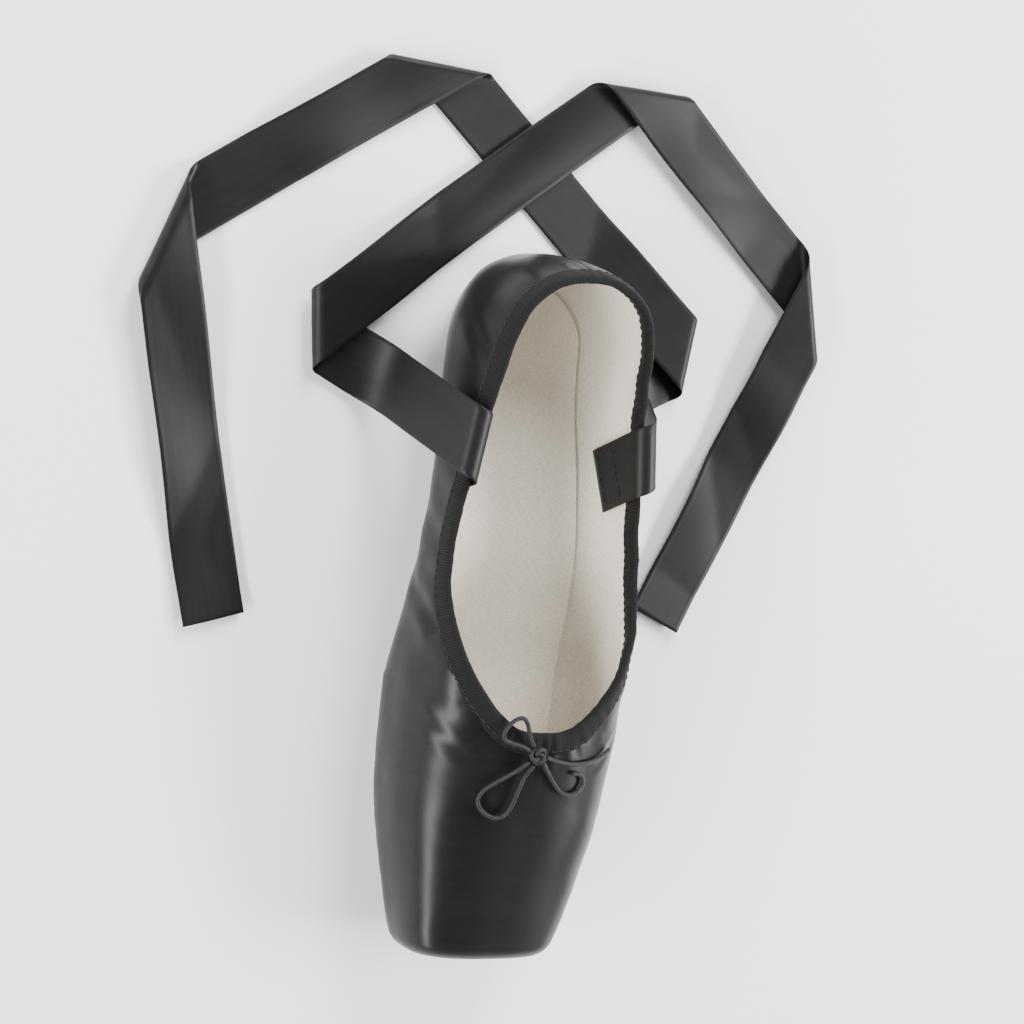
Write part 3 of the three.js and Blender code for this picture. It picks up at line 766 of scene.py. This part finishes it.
def below_collar(grid, above=0.0):
    """Which of a grid's points lie below the collar's line, seen along the wall there."""
    flat = grid.reshape(-1, 3)
    _, number = nearest(flat, COLLAR_POINTS)
    past = ((flat - COLLAR_POINTS[number]) * COLLAR_UP[number]).sum(axis=1)
    return (past < above).reshape(grid.shape[:2])


def over_sole(grid, margin):
    """Which of a grid's faces lie on the outsole, further in than a margin."""
    x, y, z = np.moveaxis(grid, -1, 0)
    half = sole_half(np.clip(x, SOLE_FROM, SOLE_TO), margin)
    inside = (np.abs(y) < half) & (x > SOLE_FROM + margin) & (x < SOLE_TO - margin)
    return inside & (z < UNDERSIDE)


kept = below_collar(OUTER, above=1.2 * MM) & ~over_sole(OUTER, margin=6 * MM)
upper = grid_piece("upper_satin", SATIN_SKIN, keep=kept, closed_columns=True)
dress(upper, SATIN, "satin")
print(upper.name, "has", len(upper.data.polygons), "faces")

# %% [markdown]
# ## The lining
# Inside, the shoe shows drill cotton: a plain twill, undyed, which wrinkles less than the satin
# because it is glued. It is the same kind of grid two millimetres further in, so the wall has its
# real thickness, and both skins end inside the bound edge.

# %% Twill cotton
TWILL_SLANT = 63
TWILL_THREADS = (2600, 700)
SOIL = (0.80, 0.74, 0.66, 1)


def slanted(material, place, degrees):
    """Coordinates turned in the plane of the cloth."""
    turn = (0, 0, math.radians(degrees))
    return add_node(material, "Mapping", Vector=place, Rotation=turn).outputs["Vector"]


def twill(name, colour, pitch, roughness=0.85):
    """Cotton twill: fine diagonal ribs, with threads a little lighter or darker."""
    material = new_material(name, colour, roughness, Sheen_Weight=0.25, Sheen_Roughness=0.5)
    slanting = slanted(material, cloth_coordinates(material, 1 / pitch, 1 / pitch), TWILL_SLANT)
    waves = dict(Scale=0.32, Distortion=0.6, Detail=1.0, Detail_Scale=2.0)
    ribs = add_node(material, "TexWave", Vector=slanting, **waves).outputs["Fac"]
    threads = mottling(material, cloth_coordinates(material, *TWILL_THREADS), 1.0, 2.0)
    soil = mottling(material, object_coordinates(material), 26.0, 5.0)
    thread_tone = two_tones(
        material, band(material, threads, 0.35, 0.65, 0.0, 1.0), colour, 0.86, 1.08
    )
    soiled = band(material, soil, 0.45, 0.75, 0.0, 0.35)
    tone = mixed(material, "MULTIPLY", soiled, thread_tone, SOIL)
    weave = bump(material, threads, 0.06 * MM, 0.5)
    rib = bump(material, ribs, 0.12 * MM, 0.7, weave)
    finish_with(material, Base_Color=tone, Normal=rib.outputs["Normal"])
    return material


LINING_COTTON = twill("lining_drill", (0.70, 0.65, 0.56), 0.9 * MM)

# %% Lay the lining in
INNER = skin(inset=WALL, lengthwise=210, count=190, platform_rings=12)
INWARD = -normals_of(INNER)
inner_points = INNER.reshape(-1, 3)
relief = 0.35 * gathered(inner_points) - 0.4 * uneven(inner_points)
lining_skin = (inner_points - INWARD.reshape(-1, 3) * relief[:, None]).reshape(INNER.shape)
lining = grid_piece(
    "lining", lining_skin, keep=below_collar(INNER, above=0.8 * MM), closed_columns=True
)
dress(lining, LINING_COTTON, "lining_cotton")
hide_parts("upper")
print(lining.name, "has", len(lining.data.polygons), "faces")

# %% [markdown]
# ## The bound edge
# A tape is folded over the raw edge and stitched down, and the drawstring runs inside it. A bevel
# on a curve would give an even tube. A real binding is flatter than it is deep, its two lips
# clasp the wall, and it puckers where the cord pulls it, so its section is swept here.

# %% Matte ribbed tape


def tape(name, colour):
    """Woven tape: fine ribs across it with painted shade between them, and a dull surface."""
    material = new_material(name, colour, 0.78, Sheen_Weight=0.03, Specular_IOR_Level=0.15)
    place = cloth_coordinates(material, 1 / MM, 1 / MM)
    waves = dict(Scale=0.36, Distortion=1.6, Detail=2.0, Detail_Scale=1.5)
    ribs = add_node(material, "TexWave", {"bands_direction": "X"}, Vector=place, **waves)
    ribs = ribs.outputs["Fac"]
    fuzz = mottling(material, object_coordinates(material), 900.0, 3.0)
    # Painted shade and highlight: the ribs' troughs are darker and their crests lighter.
    tone = two_tones(material, band(material, ribs, 0.2, 0.8, 0.0, 1.0), colour, 0.6, 1.5)
    fine = bump(material, fuzz, 0.08 * MM, 0.4)
    rib = bump(material, ribs, 0.14 * MM, 0.8, fine)
    finish_with(material, Base_Color=tone, Normal=rib.outputs["Normal"])
    return material


BINDING_TAPE = tape("binding_tape", (0.0050, 0.0050, 0.0054))

# %% Sweep the binding along the collar
BINDING_THICK = 3.4 * MM
BINDING_TALL = 6.2 * MM
LIP = 1.5 * MM
PUCKER_PITCH = 5.2 * MM
PUCKER_REACH = 26 * MM
SWAY_PITCH = 17 * MM
BINDING_COLUMNS = 28


def binding_skin():
    """Rings of points along the collar: a rounded top, flat sides, and lips below the edge."""
    run = np.arange(len(COLLAR_POINTS)) * COLLAR_STEP
    pucker = wandering(run, PUCKER_PITCH) * (0.10 + 0.20 * near_throat(run, PUCKER_REACH)) * MM
    sway = (wandering(run, SWAY_PITCH) * 0.22 * MM)[:, None]
    angle = np.linspace(0, 2 * np.pi, BINDING_COLUMNS, endpoint=False)
    side = np.sign(np.cos(angle)) * np.abs(np.cos(angle)) ** 0.62
    rise = np.sign(np.sin(angle)) * np.abs(np.sin(angle)) ** 0.75
    half = (BINDING_THICK / 2 + pucker)[:, None] * side
    low, high = GAP - LIP, GAP + BINDING_TALL
    reach = (high + low) / 2 + (high - low) / 2 * rise + sway * 0.5 * (rise > 0)
    centre = COLLAR_POINTS[:, None] + COLLAR_OUT[:, None] * sway[..., None]
    return centre + COLLAR_OUT[:, None] * half[..., None] + COLLAR_UP[:, None] * reach[..., None]


BINDING_SKIN = binding_skin()
binding = grid_piece("binding_tape", BINDING_SKIN, closed_rows=True, closed_columns=True)
dress(binding, BINDING_TAPE, "binding_tape", "binding")
print(binding.name, "has", len(binding.data.polygons), "faces")

# %% [markdown]
# Stitches hold the tape. Each is a short loop of thread that dips at both ends, and all of a row
# are joined in one mesh. They follow a column of the tape's own grid, so they lie on its surface
# however it puckers.

# %% A row of stitches
THREAD_RADIUS = 0.22 * MM
STITCH_PITCH = 2.9 * MM
STITCH_LENGTH = 2.0 * MM
OUTER_COLUMN = 26
INNER_COLUMN = 16


def thread_material(name, colour):
    """Twisted sewing thread, with a little gloss."""
    material = new_material(name, colour, 0.55, Sheen_Weight=0.03, Specular_IOR_Level=0.25)
    twist = mottling(material, object_coordinates(material), 2500.0, 2.0)
    lay = bump(material, twist, 0.05 * MM, 0.6)
    rough = band(material, twist, 0.3, 0.7, 0.45, 0.7)
    finish_with(material, Normal=lay.outputs["Normal"], Roughness=rough)
    return material


BLACK_THREAD = thread_material("black_thread", (0.009, 0.009, 0.010))


def stitches(name, starts, ends, outs):
    """One mesh of stitches, each a capsule of thread from its start to its end."""
    shares = np.array([0, 0.12, 0.35, 0.65, 0.88, 1.0])
    sinks = np.array([-1.3, -0.2, 0.5, 0.5, -0.2, -1.3]) * THREAD_RADIUS
    radii = np.array([0.35, 0.8, 1, 1, 0.8, 0.35]) * THREAD_RADIUS
    turn = np.linspace(0, 2 * np.pi, 6, endpoint=False)
    along = ends - starts
    along /= np.linalg.norm(along, axis=1, keepdims=True)
    aside = np.cross(along, outs)
    middle = starts[:, None] + (ends - starts)[:, None] * shares[:, None]
    middle = middle + outs[:, None] * sinks[:, None]
    ring = np.cos(turn)[:, None] * aside[:, None] + np.sin(turn)[:, None] * outs[:, None]
    points = middle[:, :, None] + ring[:, None] * radii[:, None, None]
    count, rows, sides = points.shape[:3]
    i, j = np.meshgrid(np.arange(rows - 1), np.arange(sides), indexing="ij")
    next_j = (j + 1) % sides
    corners = [(i, j), (i, next_j), (i + 1, next_j), (i + 1, j)]
    quads = np.stack([a * sides + b for a, b in corners], axis=-1).reshape(-1, 4)
    faces = (quads[None] + (np.arange(count) * rows * sides)[:, None, None]).reshape(-1, 4)
    mesh = bpy.data.meshes.new(name)
    mesh.from_pydata(points.reshape(-1, 3).tolist(), [], faces.tolist())
    return smooth_piece(name, mesh)


def collar_stitches(name, side, column):
    """A row on the binding's own surface, along one of the columns of its grid."""
    count = int(COLLAR_RUN / STITCH_PITCH)
    first = (np.arange(count) * len(COLLAR_POINTS) / count).astype(int)
    last = (first + round(STITCH_LENGTH / COLLAR_STEP)) % len(COLLAR_POINTS)
    line = BINDING_SKIN[:, column]
    row = stitches(name, line[first], line[last], side * COLLAR_OUT[first])
    return dress(row, BLACK_THREAD, "binding_tape")


collar_stitches("binding_stitches_outer", 1, OUTER_COLUMN)
collar_stitches("binding_stitches_inner", -1, INNER_COLUMN)
print("stitches round the collar:", int(COLLAR_RUN / STITCH_PITCH))

# %% [markdown]
# ## The sole
# The outsole is a thin suede leather plate, narrower than the shoe, with skived, rounded edges.
# Its section is a plate with small rounded corners, swept from heel to toe under the last. The
# insole is the same kind of plate on the inside, covered in pale cloth.

# %% A plate that follows the last


def plate(start, end, half, top, thick, corner, lengthwise, across):
    """Rings round a plate: its upper face at top(x, y) and its corners rounded."""
    turn = np.linspace(0, np.pi / 2, 5)
    arc, level = np.ones_like(turn), np.ones(across - 2)
    flat = np.linspace(1, -1, across)[1:-1]
    parts = [
        (arc, np.cos(turn), arc, np.sin(turn)),
        (flat, 0 * level, level, level),
        (-arc, -np.sin(turn), arc, np.cos(turn)),
        (-arc, -np.cos(turn), -arc, -np.sin(turn)),
        (-flat, 0 * level, -level, -level),
        (arc, np.sin(turn), -arc, -np.cos(turn)),
    ]
    share, arc_y, face, arc_z = np.concatenate([np.stack(part, -1) for part in parts]).T
    rings = []
    for x in stations(start, end, lengthwise, ends=0.7):
        wide = float(half(x))
        y = share * max(wide - corner, 0) + arc_y * min(corner, wide)
        z = top(x, y) - thick / 2 + face * (thick / 2 - corner) + arc_z * corner
        rings.append(np.stack([x + 0 * y, y, z], axis=-1))
    return np.stack([shrunk(rings[0], 0.02), *rings, shrunk(rings[-1], 0.02)])


def outsole_top(x, y):
    """The upper face: under the last, and less curved across it at the tread's edge."""
    return height_at(x, y * 0.9, 0.0) - SOLE_GAP


outsole_skin = plate(
    SOLE_FROM + 0.1 * MM,
    SOLE_TO - 0.1 * MM,
    sole_half,
    outsole_top,
    thick=SOLE_THICKNESS,
    corner=0.7 * MM,
    lengthwise=170,
    across=60,
)
lowest = outsole_skin[..., 2].min()
outsole_skin[..., 2] = np.maximum(outsole_skin[..., 2], 0.0)
print("the outsole's lowest point:", round(lowest / MM, 2), "mm")

# %% Suede leather


def suede(name, colour, worn):
    """Suede: a short nap in patches of tone, polished where it rubs."""
    material = new_material(name, colour, 0.86, Sheen_Weight=0.5, Sheen_Roughness=0.45)
    place = object_coordinates(material)
    nap = mottling(material, place, 1600.0, 3.0)
    patch = mottling(material, place, 42.0, 6.0)
    pores = add_node(material, "TexVoronoi", Vector=place, Scale=1300.0).outputs["Distance"]
    patched = two_tones(material, band(material, patch, 0.35, 0.65, 0.0, 1.0), colour, 0.72, 1.15)
    rubbed = band(material, nap, 0.4, 0.7, 0.0, 0.5)
    tone = mixed(material, "MULTIPLY", rubbed, patched, (*worn, 1))
    hair = bump(material, nap, 0.10 * MM, 0.5)
    grain = bump(material, pores, 0.08 * MM, 0.4, hair)
    rough = band(material, patch, 0.3, 0.7, 0.72, 0.95)
    finish_with(material, Base_Color=tone, Roughness=rough, Normal=grain.outputs["Normal"])
    return material


SOLE_LEATHER = suede("sole_suede", (0.36, 0.27, 0.19), (0.55, 0.45, 0.36))
outsole = grid_piece("outsole_suede", outsole_skin, closed_columns=True)
dress(outsole, SOLE_LEATHER, "sole_leather", "outsole")
print(outsole.name, "has", len(outsole.data.polygons), "faces")

# %% The insole
INSOLE_THICKNESS = 1.4 * MM
INSOLE_FROM = HEEL_X + 8 * MM
INSOLE_TO = TOE_X - 14 * MM


def insole_half(x):
    """Half the insole's width at x: most of the room inside, its ends rounded in plan."""
    heel = rounded((x - INSOLE_FROM) / (22 * MM), 2.2)
    toe = rounded((INSOLE_TO - x) / (14 * MM), 2.4)
    return (section(x, WALL)["half"] * 0.8 - 1 * MM) * heel * toe


def insole_top(x, y):
    """The upper face: the last's inside, raised by the insole's thickness."""
    return height_at(x, y, WALL) + GAP + INSOLE_THICKNESS


insole_skin = plate(
    INSOLE_FROM + 0.2 * MM,
    INSOLE_TO - 0.2 * MM,
    insole_half,
    insole_top,
    thick=INSOLE_THICKNESS,
    corner=0.5 * MM,
    lengthwise=130,
    across=50,
)
INSOLE_CLOTH = twill("insole_cloth", (0.74, 0.68, 0.58), 0.7 * MM, roughness=0.78)
insole = grid_piece("insole_cloth", insole_skin, closed_columns=True)
dress(insole, INSOLE_CLOTH, "lining_cotton", "insole")
print(insole.name, "has", len(insole.data.polygons), "faces")

# %% [markdown]
# ## The drawstring
# The cord comes out at the throat and is tied in a bow that lies on the vamp. Each length is a
# round tube swept along its own line, laid on the last's top, so it rests on the satin and never
# sinks in. A braid is too fine to model, so its plait is a pattern in the material: a bump, with
# painted shade between the strands.

# %% Braided cord
PLAIT_SLANT = 38


def braid(name, colour):
    """A plait: two families of diagonal strands crossing, each a fine ridge, with painted shade
    between them.
    """
    material = new_material(name, colour, 0.42, Sheen_Weight=0.03, Specular_IOR_Level=0.26)
    strands = []
    for slant in (PLAIT_SLANT, -PLAIT_SLANT):
        place = slanted(material, cloth_coordinates(material, 1 / MM, 1 / MM), slant)
        strand = add_node(material, "TexWave", Vector=place, Scale=0.55, Distortion=0.3)
        strands.append(strand.outputs["Fac"])
    plait = add_node(material, "Math", {"operation": "MAXIMUM"}, Value=strands[0])
    material.node_tree.links.new(strands[1], plait.inputs[1])
    raised = plait.outputs["Value"]
    worn = mottling(material, object_coordinates(material), 300.0, 3.0)
    # Painted shade: the strands' hollows are darker and their crests lighter.
    tone = two_tones(material, band(material, raised, 0.3, 0.9, 0.0, 1.0), colour, 0.4, 1.3)
    ridges = bump(material, raised, 0.12 * MM, 0.8)
    rough = band(material, worn, 0.3, 0.7, 0.34, 0.52)
    finish_with(material, Base_Color=tone, Roughness=rough, Normal=ridges.outputs["Normal"])
    return material


CORD = braid("drawstring_braid", (0.010, 0.010, 0.011))

# %% A tube along a line
CORD_RADIUS = 0.75 * MM
CORD_SIDES = 16
CORD_POINTS = 90
CORD_CAP = [(0.25, 0.85), (0.42, 0.5), (0.5, 0.04)]  # how far out each ring is, and its size


def smooth_line(points, count):
    """A curve through the points, resampled to so many even steps."""
    points = np.asarray(points, dtype=float)
    p = np.array([2 * points[0] - points[1], *points, 2 * points[-1] - points[-2]])
    t = np.linspace(0, 1, 24, endpoint=False)[:, None]
    spans = []
    for a, b, c, d in zip(p[:-3], p[1:-2], p[2:-1], p[3:]):
        cubic = 2 * b + (c - a) * t + (2 * a - 5 * b + 4 * c - d) * t**2
        spans.append((cubic + (3 * b - a - 3 * c + d) * t**3) / 2)
    line = np.concatenate([*spans, points[-1:]])
    return along_line(line, np.linspace(0, 1, count))


def tube(name, line, radius, closed=False):
    """A round tube along a line, its ends rounded over unless it is closed."""
    if closed:
        ahead = np.roll(line, -1, axis=0) - np.roll(line, 1, axis=0)
    else:
        ahead = np.gradient(line, axis=0)
    ahead /= np.linalg.norm(ahead, axis=1, keepdims=True)
    aside = np.cross(ahead[0], (0.3, 0.2, 1.0))
    sides_of = []
    for direction in ahead:
        aside = aside - direction * np.dot(aside, direction)
        aside = aside / np.linalg.norm(aside)
        sides_of.append(aside)
    aside = np.array(sides_of)
    other = np.cross(ahead, aside)
    angle = np.linspace(0, 2 * np.pi, CORD_SIDES, endpoint=False)
    ring = np.cos(angle)[:, None] * aside[:, None] + np.sin(angle)[:, None] * other[:, None]
    rings = line[:, None] + ring * radius
    if not closed:
        caps = [(radius * far, radius * near) for far, near in CORD_CAP]
        head = [line[0] - ahead[0] * far + ring[0] * near for far, near in caps]
        tail = [line[-1] + ahead[-1] * far + ring[-1] * near for far, near in caps]
        rings = np.concatenate([np.array(head[::-1]), rings, np.array(tail)])
    return grid_piece(name, rings, closed_rows=closed, closed_columns=True)


# %% The bow's lines on the vamp
KNOT_RADIUS = 1.9 * MM
KNOT_X, KNOT_Y = HEEL_X + 163 * MM, -3 * MM
KNOT_Z = float(height_at(KNOT_X, KNOT_Y, 0.0, True)) + BINDING_THICK / 2 + KNOT_RADIUS
KNOT_REACH = 3.6


def over_vamp(forward, sideways, rise):
    """A point so many millimetres from the knot, lying on the vamp and rising to the knot."""
    x, y = KNOT_X + forward * MM, KNOT_Y + sideways * MM
    resting = height_at(max(x, KNOT_X - 4 * MM), y, 0.0, True) + CORD_RADIUS + 2 * GAP + rise * MM
    near = math.exp(-max(0.0, math.hypot(forward, sideways) - 3) / 3)
    return np.array([x, y, float(resting + (KNOT_Z - resting) * near)])


def loop_line(heading, length, width, rise):
    """A teardrop that leaves the knot and comes back beside where it left."""
    turn = math.radians(heading)
    points = []
    for t in np.linspace(0, 1, 33):
        out = max(0.0, math.sin(math.pi * t))
        reach = KNOT_REACH + (length - KNOT_REACH) * out**0.8
        spread = math.sin(2 * math.pi * t) * width / 2 * out**0.3 + 1.1 * math.cos(math.pi * t)
        forward = reach * math.cos(turn) - spread * math.sin(turn)
        sideways = reach * math.sin(turn) + spread * math.cos(turn)
        points.append(over_vamp(forward, sideways, rise))
    return smooth_line(points, CORD_POINTS)


BOW_LOOPS = {
    "drawstring_loop_long": dict(heading=-33, length=25, width=11.5, rise=0.5),
    "drawstring_loop_short": dict(heading=-132, length=15, width=8.5, rise=1.5),
}
BOW_ENDS = {
    "drawstring_end_inner": [
        (2.5, 2.7),
        (6, 6),
        (10, 9.5),
        (13, 13),
        (14, 17),
        (12.5, 20.5),
        (9.5, 21.5),
        (7, 19.5),
        (6.5, 16.5),
    ],
    "drawstring_end_outer": [(0.6, 3.6), (2.2, 9), (3.2, 15), (3, 21), (1.6, 27), (-0.8, 32)],
}

# %% Tie the bow


def free_cord(name, line, node):
    """One length of the cord, a tube in the cord's finish that stands for its solid."""
    piece = dress(tube(name, line, CORD_RADIUS), CORD, "drawstring_cord", node)


for node, sizes in BOW_LOOPS.items():
    free_cord(node.replace("drawstring", "bow"), loop_line(**sizes), node)
for node, route in BOW_ENDS.items():
    line = smooth_line([over_vamp(*place, 0.1) for place in route], CORD_POINTS)
    free_cord(node.replace("drawstring", "bow"), line, node)

# %% Tie the knot
KNOT_CORE = KNOT_RADIUS * 0.85
KNOT_TWIST = 0.3

turns = np.linspace(0, 4 * np.pi, 180, endpoint=False)
swell = KNOT_CORE * (2 + np.cos(turns * 1.5)) / 2
rise = 0.8 * KNOT_CORE * np.sin(turns * 1.5) / 2
knot_line = np.stack([swell * np.cos(turns), 1.15 * swell * np.sin(turns), rise], axis=-1)
cosine, sine = math.cos(KNOT_TWIST), math.sin(KNOT_TWIST)
twist = np.array([[cosine, -sine, 0], [sine, cosine, 0], [0, 0, 1]])
knot_line = knot_line @ twist.T + (KNOT_X, KNOT_Y, KNOT_Z)
knot = tube("bow_knot", knot_line, CORD_RADIUS, closed=True)
dress(knot, CORD, "drawstring_cord", "drawstring_knot")
knot_above = KNOT_Z - float(height_at(KNOT_X, 0.0, 0.0, True))
print("the knot stands", round(knot_above / MM, 1), "mm up")

# %% [markdown]
# ## The ribbons
# A ribbon doesn't stretch, so a cloth simulation is more trouble than it is worth. It is bent
# along straight lines instead, like paper: each bend turns everything after it about a ruling
# drawn slantwise across the strip, so it keeps its width and length in every fold.

# %% Where the ribbons bend
RIBBON_WIDTH = 22 * MM
RIBBON_THICK = 0.4 * MM
RIBBON_LENGTH = 500 * MM
RIBBON_FROM_HEEL = 64 * MM
SEWN_DEPTH = 31 * MM

# lean is degrees towards the heel, raised how far the ribbon lies above the floor. A fold comes
# after so many millimetres past the landing, and the strip is level again at the second number.
# slant is its line's angle off straight across, and way is which way it folds over.
RIBBONS = {
    "ribbon_left": {
        "side": 1,
        "lean": 20,
        "raised": 0.0,
        "folds": [
            dict(after=24, level=82, slant=33, way=1, radius=3),
            dict(after=168, level=224, slant=-53, way=-1, radius=2),
            dict(after=282, level=368, slant=55, way=1, radius=3),
        ],
    },
    "ribbon_right": {
        "side": -1,
        "lean": 17,
        "raised": 1.3,
        "folds": [
            dict(after=28, level=85, slant=32, way=1, radius=3),
            dict(after=178, level=231, slant=-51, way=-1, radius=2),
            dict(after=284, level=366, slant=53, way=1, radius=3),
        ],
    },
}
FOLD_TURN = 187
LEVEL_TURN = -7
LEVEL_RADIUS = 30


def span_of(bend):
    """How much of the strip's length a bend takes up."""
    arc = bend["radius"] * MM * abs(math.radians(bend["turn"]))
    return arc / math.cos(math.radians(bend["slant"]))


RULING_STEP = 1.6 * MM
CREST = float(collar_height(HEEL_X + RIBBON_FROM_HEEL)) + BINDING_TALL + 5 * GAP + 2 * MM


def collar_bend(row):
    """The bend over the collar, from standing inside it to hanging outside."""
    return dict(at=SEWN_DEPTH, slant=row["lean"], turn=-160, radius=4)


def bends_of(row):
    """The bend over the collar, the landing on the floor, and the folds, in order."""
    over = collar_bend(row)
    landing = dict(slant=row["lean"], turn=70, radius=16)
    steep = math.radians(landing["turn"])
    rounding = (over["radius"] + landing["radius"]) * MM * (1 - math.cos(steep))
    straight = (CREST - 0.5 * MM - row["raised"] * MM - rounding) / math.sin(steep)
    landing["at"] = SEWN_DEPTH + (span_of(over) + span_of(landing)) / 2
    landing["at"] += straight / math.cos(math.radians(row["lean"]))
    bends = [over, landing]
    for fold in row["folds"]:
        slant, turn = fold["slant"], fold["way"] * FOLD_TURN
        folded, level = [landing["at"] + fold[key] * MM for key in ("after", "level")]
        bends.append(dict(at=folded, slant=slant, turn=turn, radius=fold["radius"]))
        turn = fold["way"] * LEVEL_TURN
        bends.append(dict(at=level, slant=slant, turn=turn, radius=LEVEL_RADIUS))
    return bends


def rulings(row):
    """Rulings along the strip: where each crosses its middle, its slant and its turn."""
    rows = [(0.0, 0.0, 0.0)]

    def fill_to(at, slant):
        """Add rulings over a flat stretch, their slants swinging from one bend's to the next."""
        before, slant_before, _ = rows[-1]
        count = max(1, round((at - before) / RULING_STEP))
        for share in np.linspace(0, 1, count + 1)[1:-1]:
            leaning = math.tan(slant_before) * (1 - share) + math.tan(slant) * share
            rows.append((before + (at - before) * share, math.atan(leaning), 0.0))

    for bend in bends_of(row):
        slant = math.radians(bend["slant"])
        span = span_of(bend)
        steps = max(4, math.ceil(abs(bend["turn"]) / 8))
        fill_to(bend["at"] - span / 2, slant)
        for i in range(steps + 1):
            share = 0.5 if i in (0, steps) else 1.0
            at = bend["at"] + span * (i / steps - 0.5)
            rows.append((at, slant, math.radians(bend["turn"]) * share / steps))
    fill_to(RIBBON_LENGTH, 0.0)
    return [*rows, (RIBBON_LENGTH, 0.0, 0.0)]


# %% Bend a ribbon


def turned(vector, axis, angle):
    """A vector turned about an axis."""
    axis = axis / np.linalg.norm(axis)
    upright = axis * np.dot(axis, vector)
    return upright + (vector - upright) * math.cos(angle) + np.cross(axis, vector) * math.sin(angle)


def bedding(points):
    """How high the cloth stands off the floor: soft swells, the same for layers on each other."""
    x, y, z = np.moveaxis(points, -1, 0) / MM
    swell = np.sin(x / 15 + 1.3 * np.sin(y / 31)) * np.sin(y / 17 + 0.9 * np.sin(x / 23) + 0.6)
    low = np.exp(-((np.maximum(z - 4, 0) / 7) ** 2))
    return np.maximum(swell + 0.15, 0) * 1.5 * MM * low


def ribbon_start(row):
    """Where the strip begins inside the quarter, and its directions along and off its face."""
    side, lean = row["side"], math.radians(row["lean"])
    x = HEEL_X + RIBBON_FROM_HEEL
    up = np.array([0.0, 0.0, 1.0])
    change = collar_half(x + 5 * MM) - collar_half(x - 5 * MM)
    splay = side * math.atan(float(change) / (10 * MM))
    along = turned(np.array([-math.sin(lean), 0.0, math.cos(lean)]), up, splay)
    face = turned(np.array([0.0, -side, 0.0]), up, splay)
    place = np.array([x, side * float(collar_half(x)), CREST - 4 * MM])
    place = place + face * (BINDING_THICK / 2 + 1.2 * MM)
    place = place + turned(np.array([1.0, 0, 0]), up, splay) * SEWN_DEPTH * math.sin(lean)
    place[2] -= (SEWN_DEPTH - span_of(collar_bend(row)) / 2) * math.cos(lean)
    return place, along, face


def strip_section():
    """The strip's outline: a flat face each way, a slightly thicker woven edge at both sides."""
    flat = np.linspace(0.985, -0.985, 17)
    thick = 0.8 + 0.35 * np.exp(-(((1 - np.abs(flat)) / 0.05) ** 2))
    edge = [(-1.0, 0.5), (-1.0, -0.5)]
    top = list(zip(flat, thick))
    bottom = [(-s, -w) for s, w in top]
    return np.array([*top, *edge, *bottom, *[(-s, -w) for s, w in edge]])


def bent_ribbon(row):
    """The whole strip as rings of points, one for each ruling."""
    outline = strip_section()
    place, along, face = ribbon_start(row)
    across = np.cross(face, along)
    before = 0.0
    rings = []
    for at, slant, turn in rulings(row):
        place = place + along * (at - before)
        before = at
        lean = slant * row["side"]
        ruling = across * math.cos(lean) + along * math.sin(lean)
        half = RIBBON_WIDTH / 2 / math.cos(lean)
        face = turned(face, ruling, -turn / 2)
        sides, skins = outline[:, :1] * half, outline[:, 1:] * RIBBON_THICK / 2
        rings.append(place + ruling * sides + face * skins)
        face = turned(face, ruling, -turn / 2)
        along = turned(along, ruling, -turn)
        across = turned(across, ruling, -turn)
    other_skin = [int(np.abs(outline - point).sum(axis=1).argmin()) for point in outline * (1, -1)]
    cut_ends = [(ring + ring[other_skin]) / 2 for ring in (rings[0], rings[-1])]
    grid = np.array([cut_ends[0], *rings, cut_ends[1]])
    grid[..., 2] += bedding(grid)
    return grid


# %% Lay the ribbons down


def sewn_square(name, row):
    """Stitches round a square that hold the ribbon's end inside the quarter."""
    place, along, face = ribbon_start(row)
    across = np.cross(face, along)
    low, high, wide, step = 2.5 * MM, 13 * MM, 8.5 * MM, 2.6 * MM
    corners = np.array([(low, -wide), (low, wide), (high, wide), (high, -wide), (low, -wide)])
    starts, ends = [], []
    for a, b in zip(corners[:-1], corners[1:]):
        count = max(2, round(float(np.linalg.norm(b - a)) / step))
        for i in range(count):
            starts.append(a + (b - a) * (i + 0.15) / count)
            ends.append(a + (b - a) * (i + 0.85) / count)
    lift = face * (RIBBON_THICK / 2 + 0.02 * MM)
    laid = [
        place + np.array(p)[:, :1] * along + np.array(p)[:, 1:] * across + lift
        for p in (starts, ends)
    ]
    outs = np.repeat(face[None], len(starts), axis=0)
    return dress(stitches(name, laid[0], laid[1], outs), BLACK_THREAD, "ribbon_satin")


for node, row in RIBBONS.items():
    name = node.replace("ribbon", "satin_ribbon")
    ribbon = grid_piece(name, bent_ribbon(row), closed_columns=True)
    dress(ribbon, RIBBON, "ribbon_satin", node)
    square = sewn_square(node.replace("ribbon", "ribbon_stitches"), row)
    heights = [vertex.co.z / MM for vertex in ribbon.data.vertices]
    print(ribbon.name, "lies", round(min(heights), 2), "to", round(max(heights), 1), "mm up")

# %% [markdown]
# ## The sizes at the end
# The solids' own box and the finished shoe's box are gathered and printed.

# %% Finish
dressed_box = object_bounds()
sizes = {
    "solid_box": [list(corner) for corner in solid_box],
    "dressed_box": [list(corner) for corner in dressed_box],
}
print("solids:", solid_box, "dressed:", dressed_box)
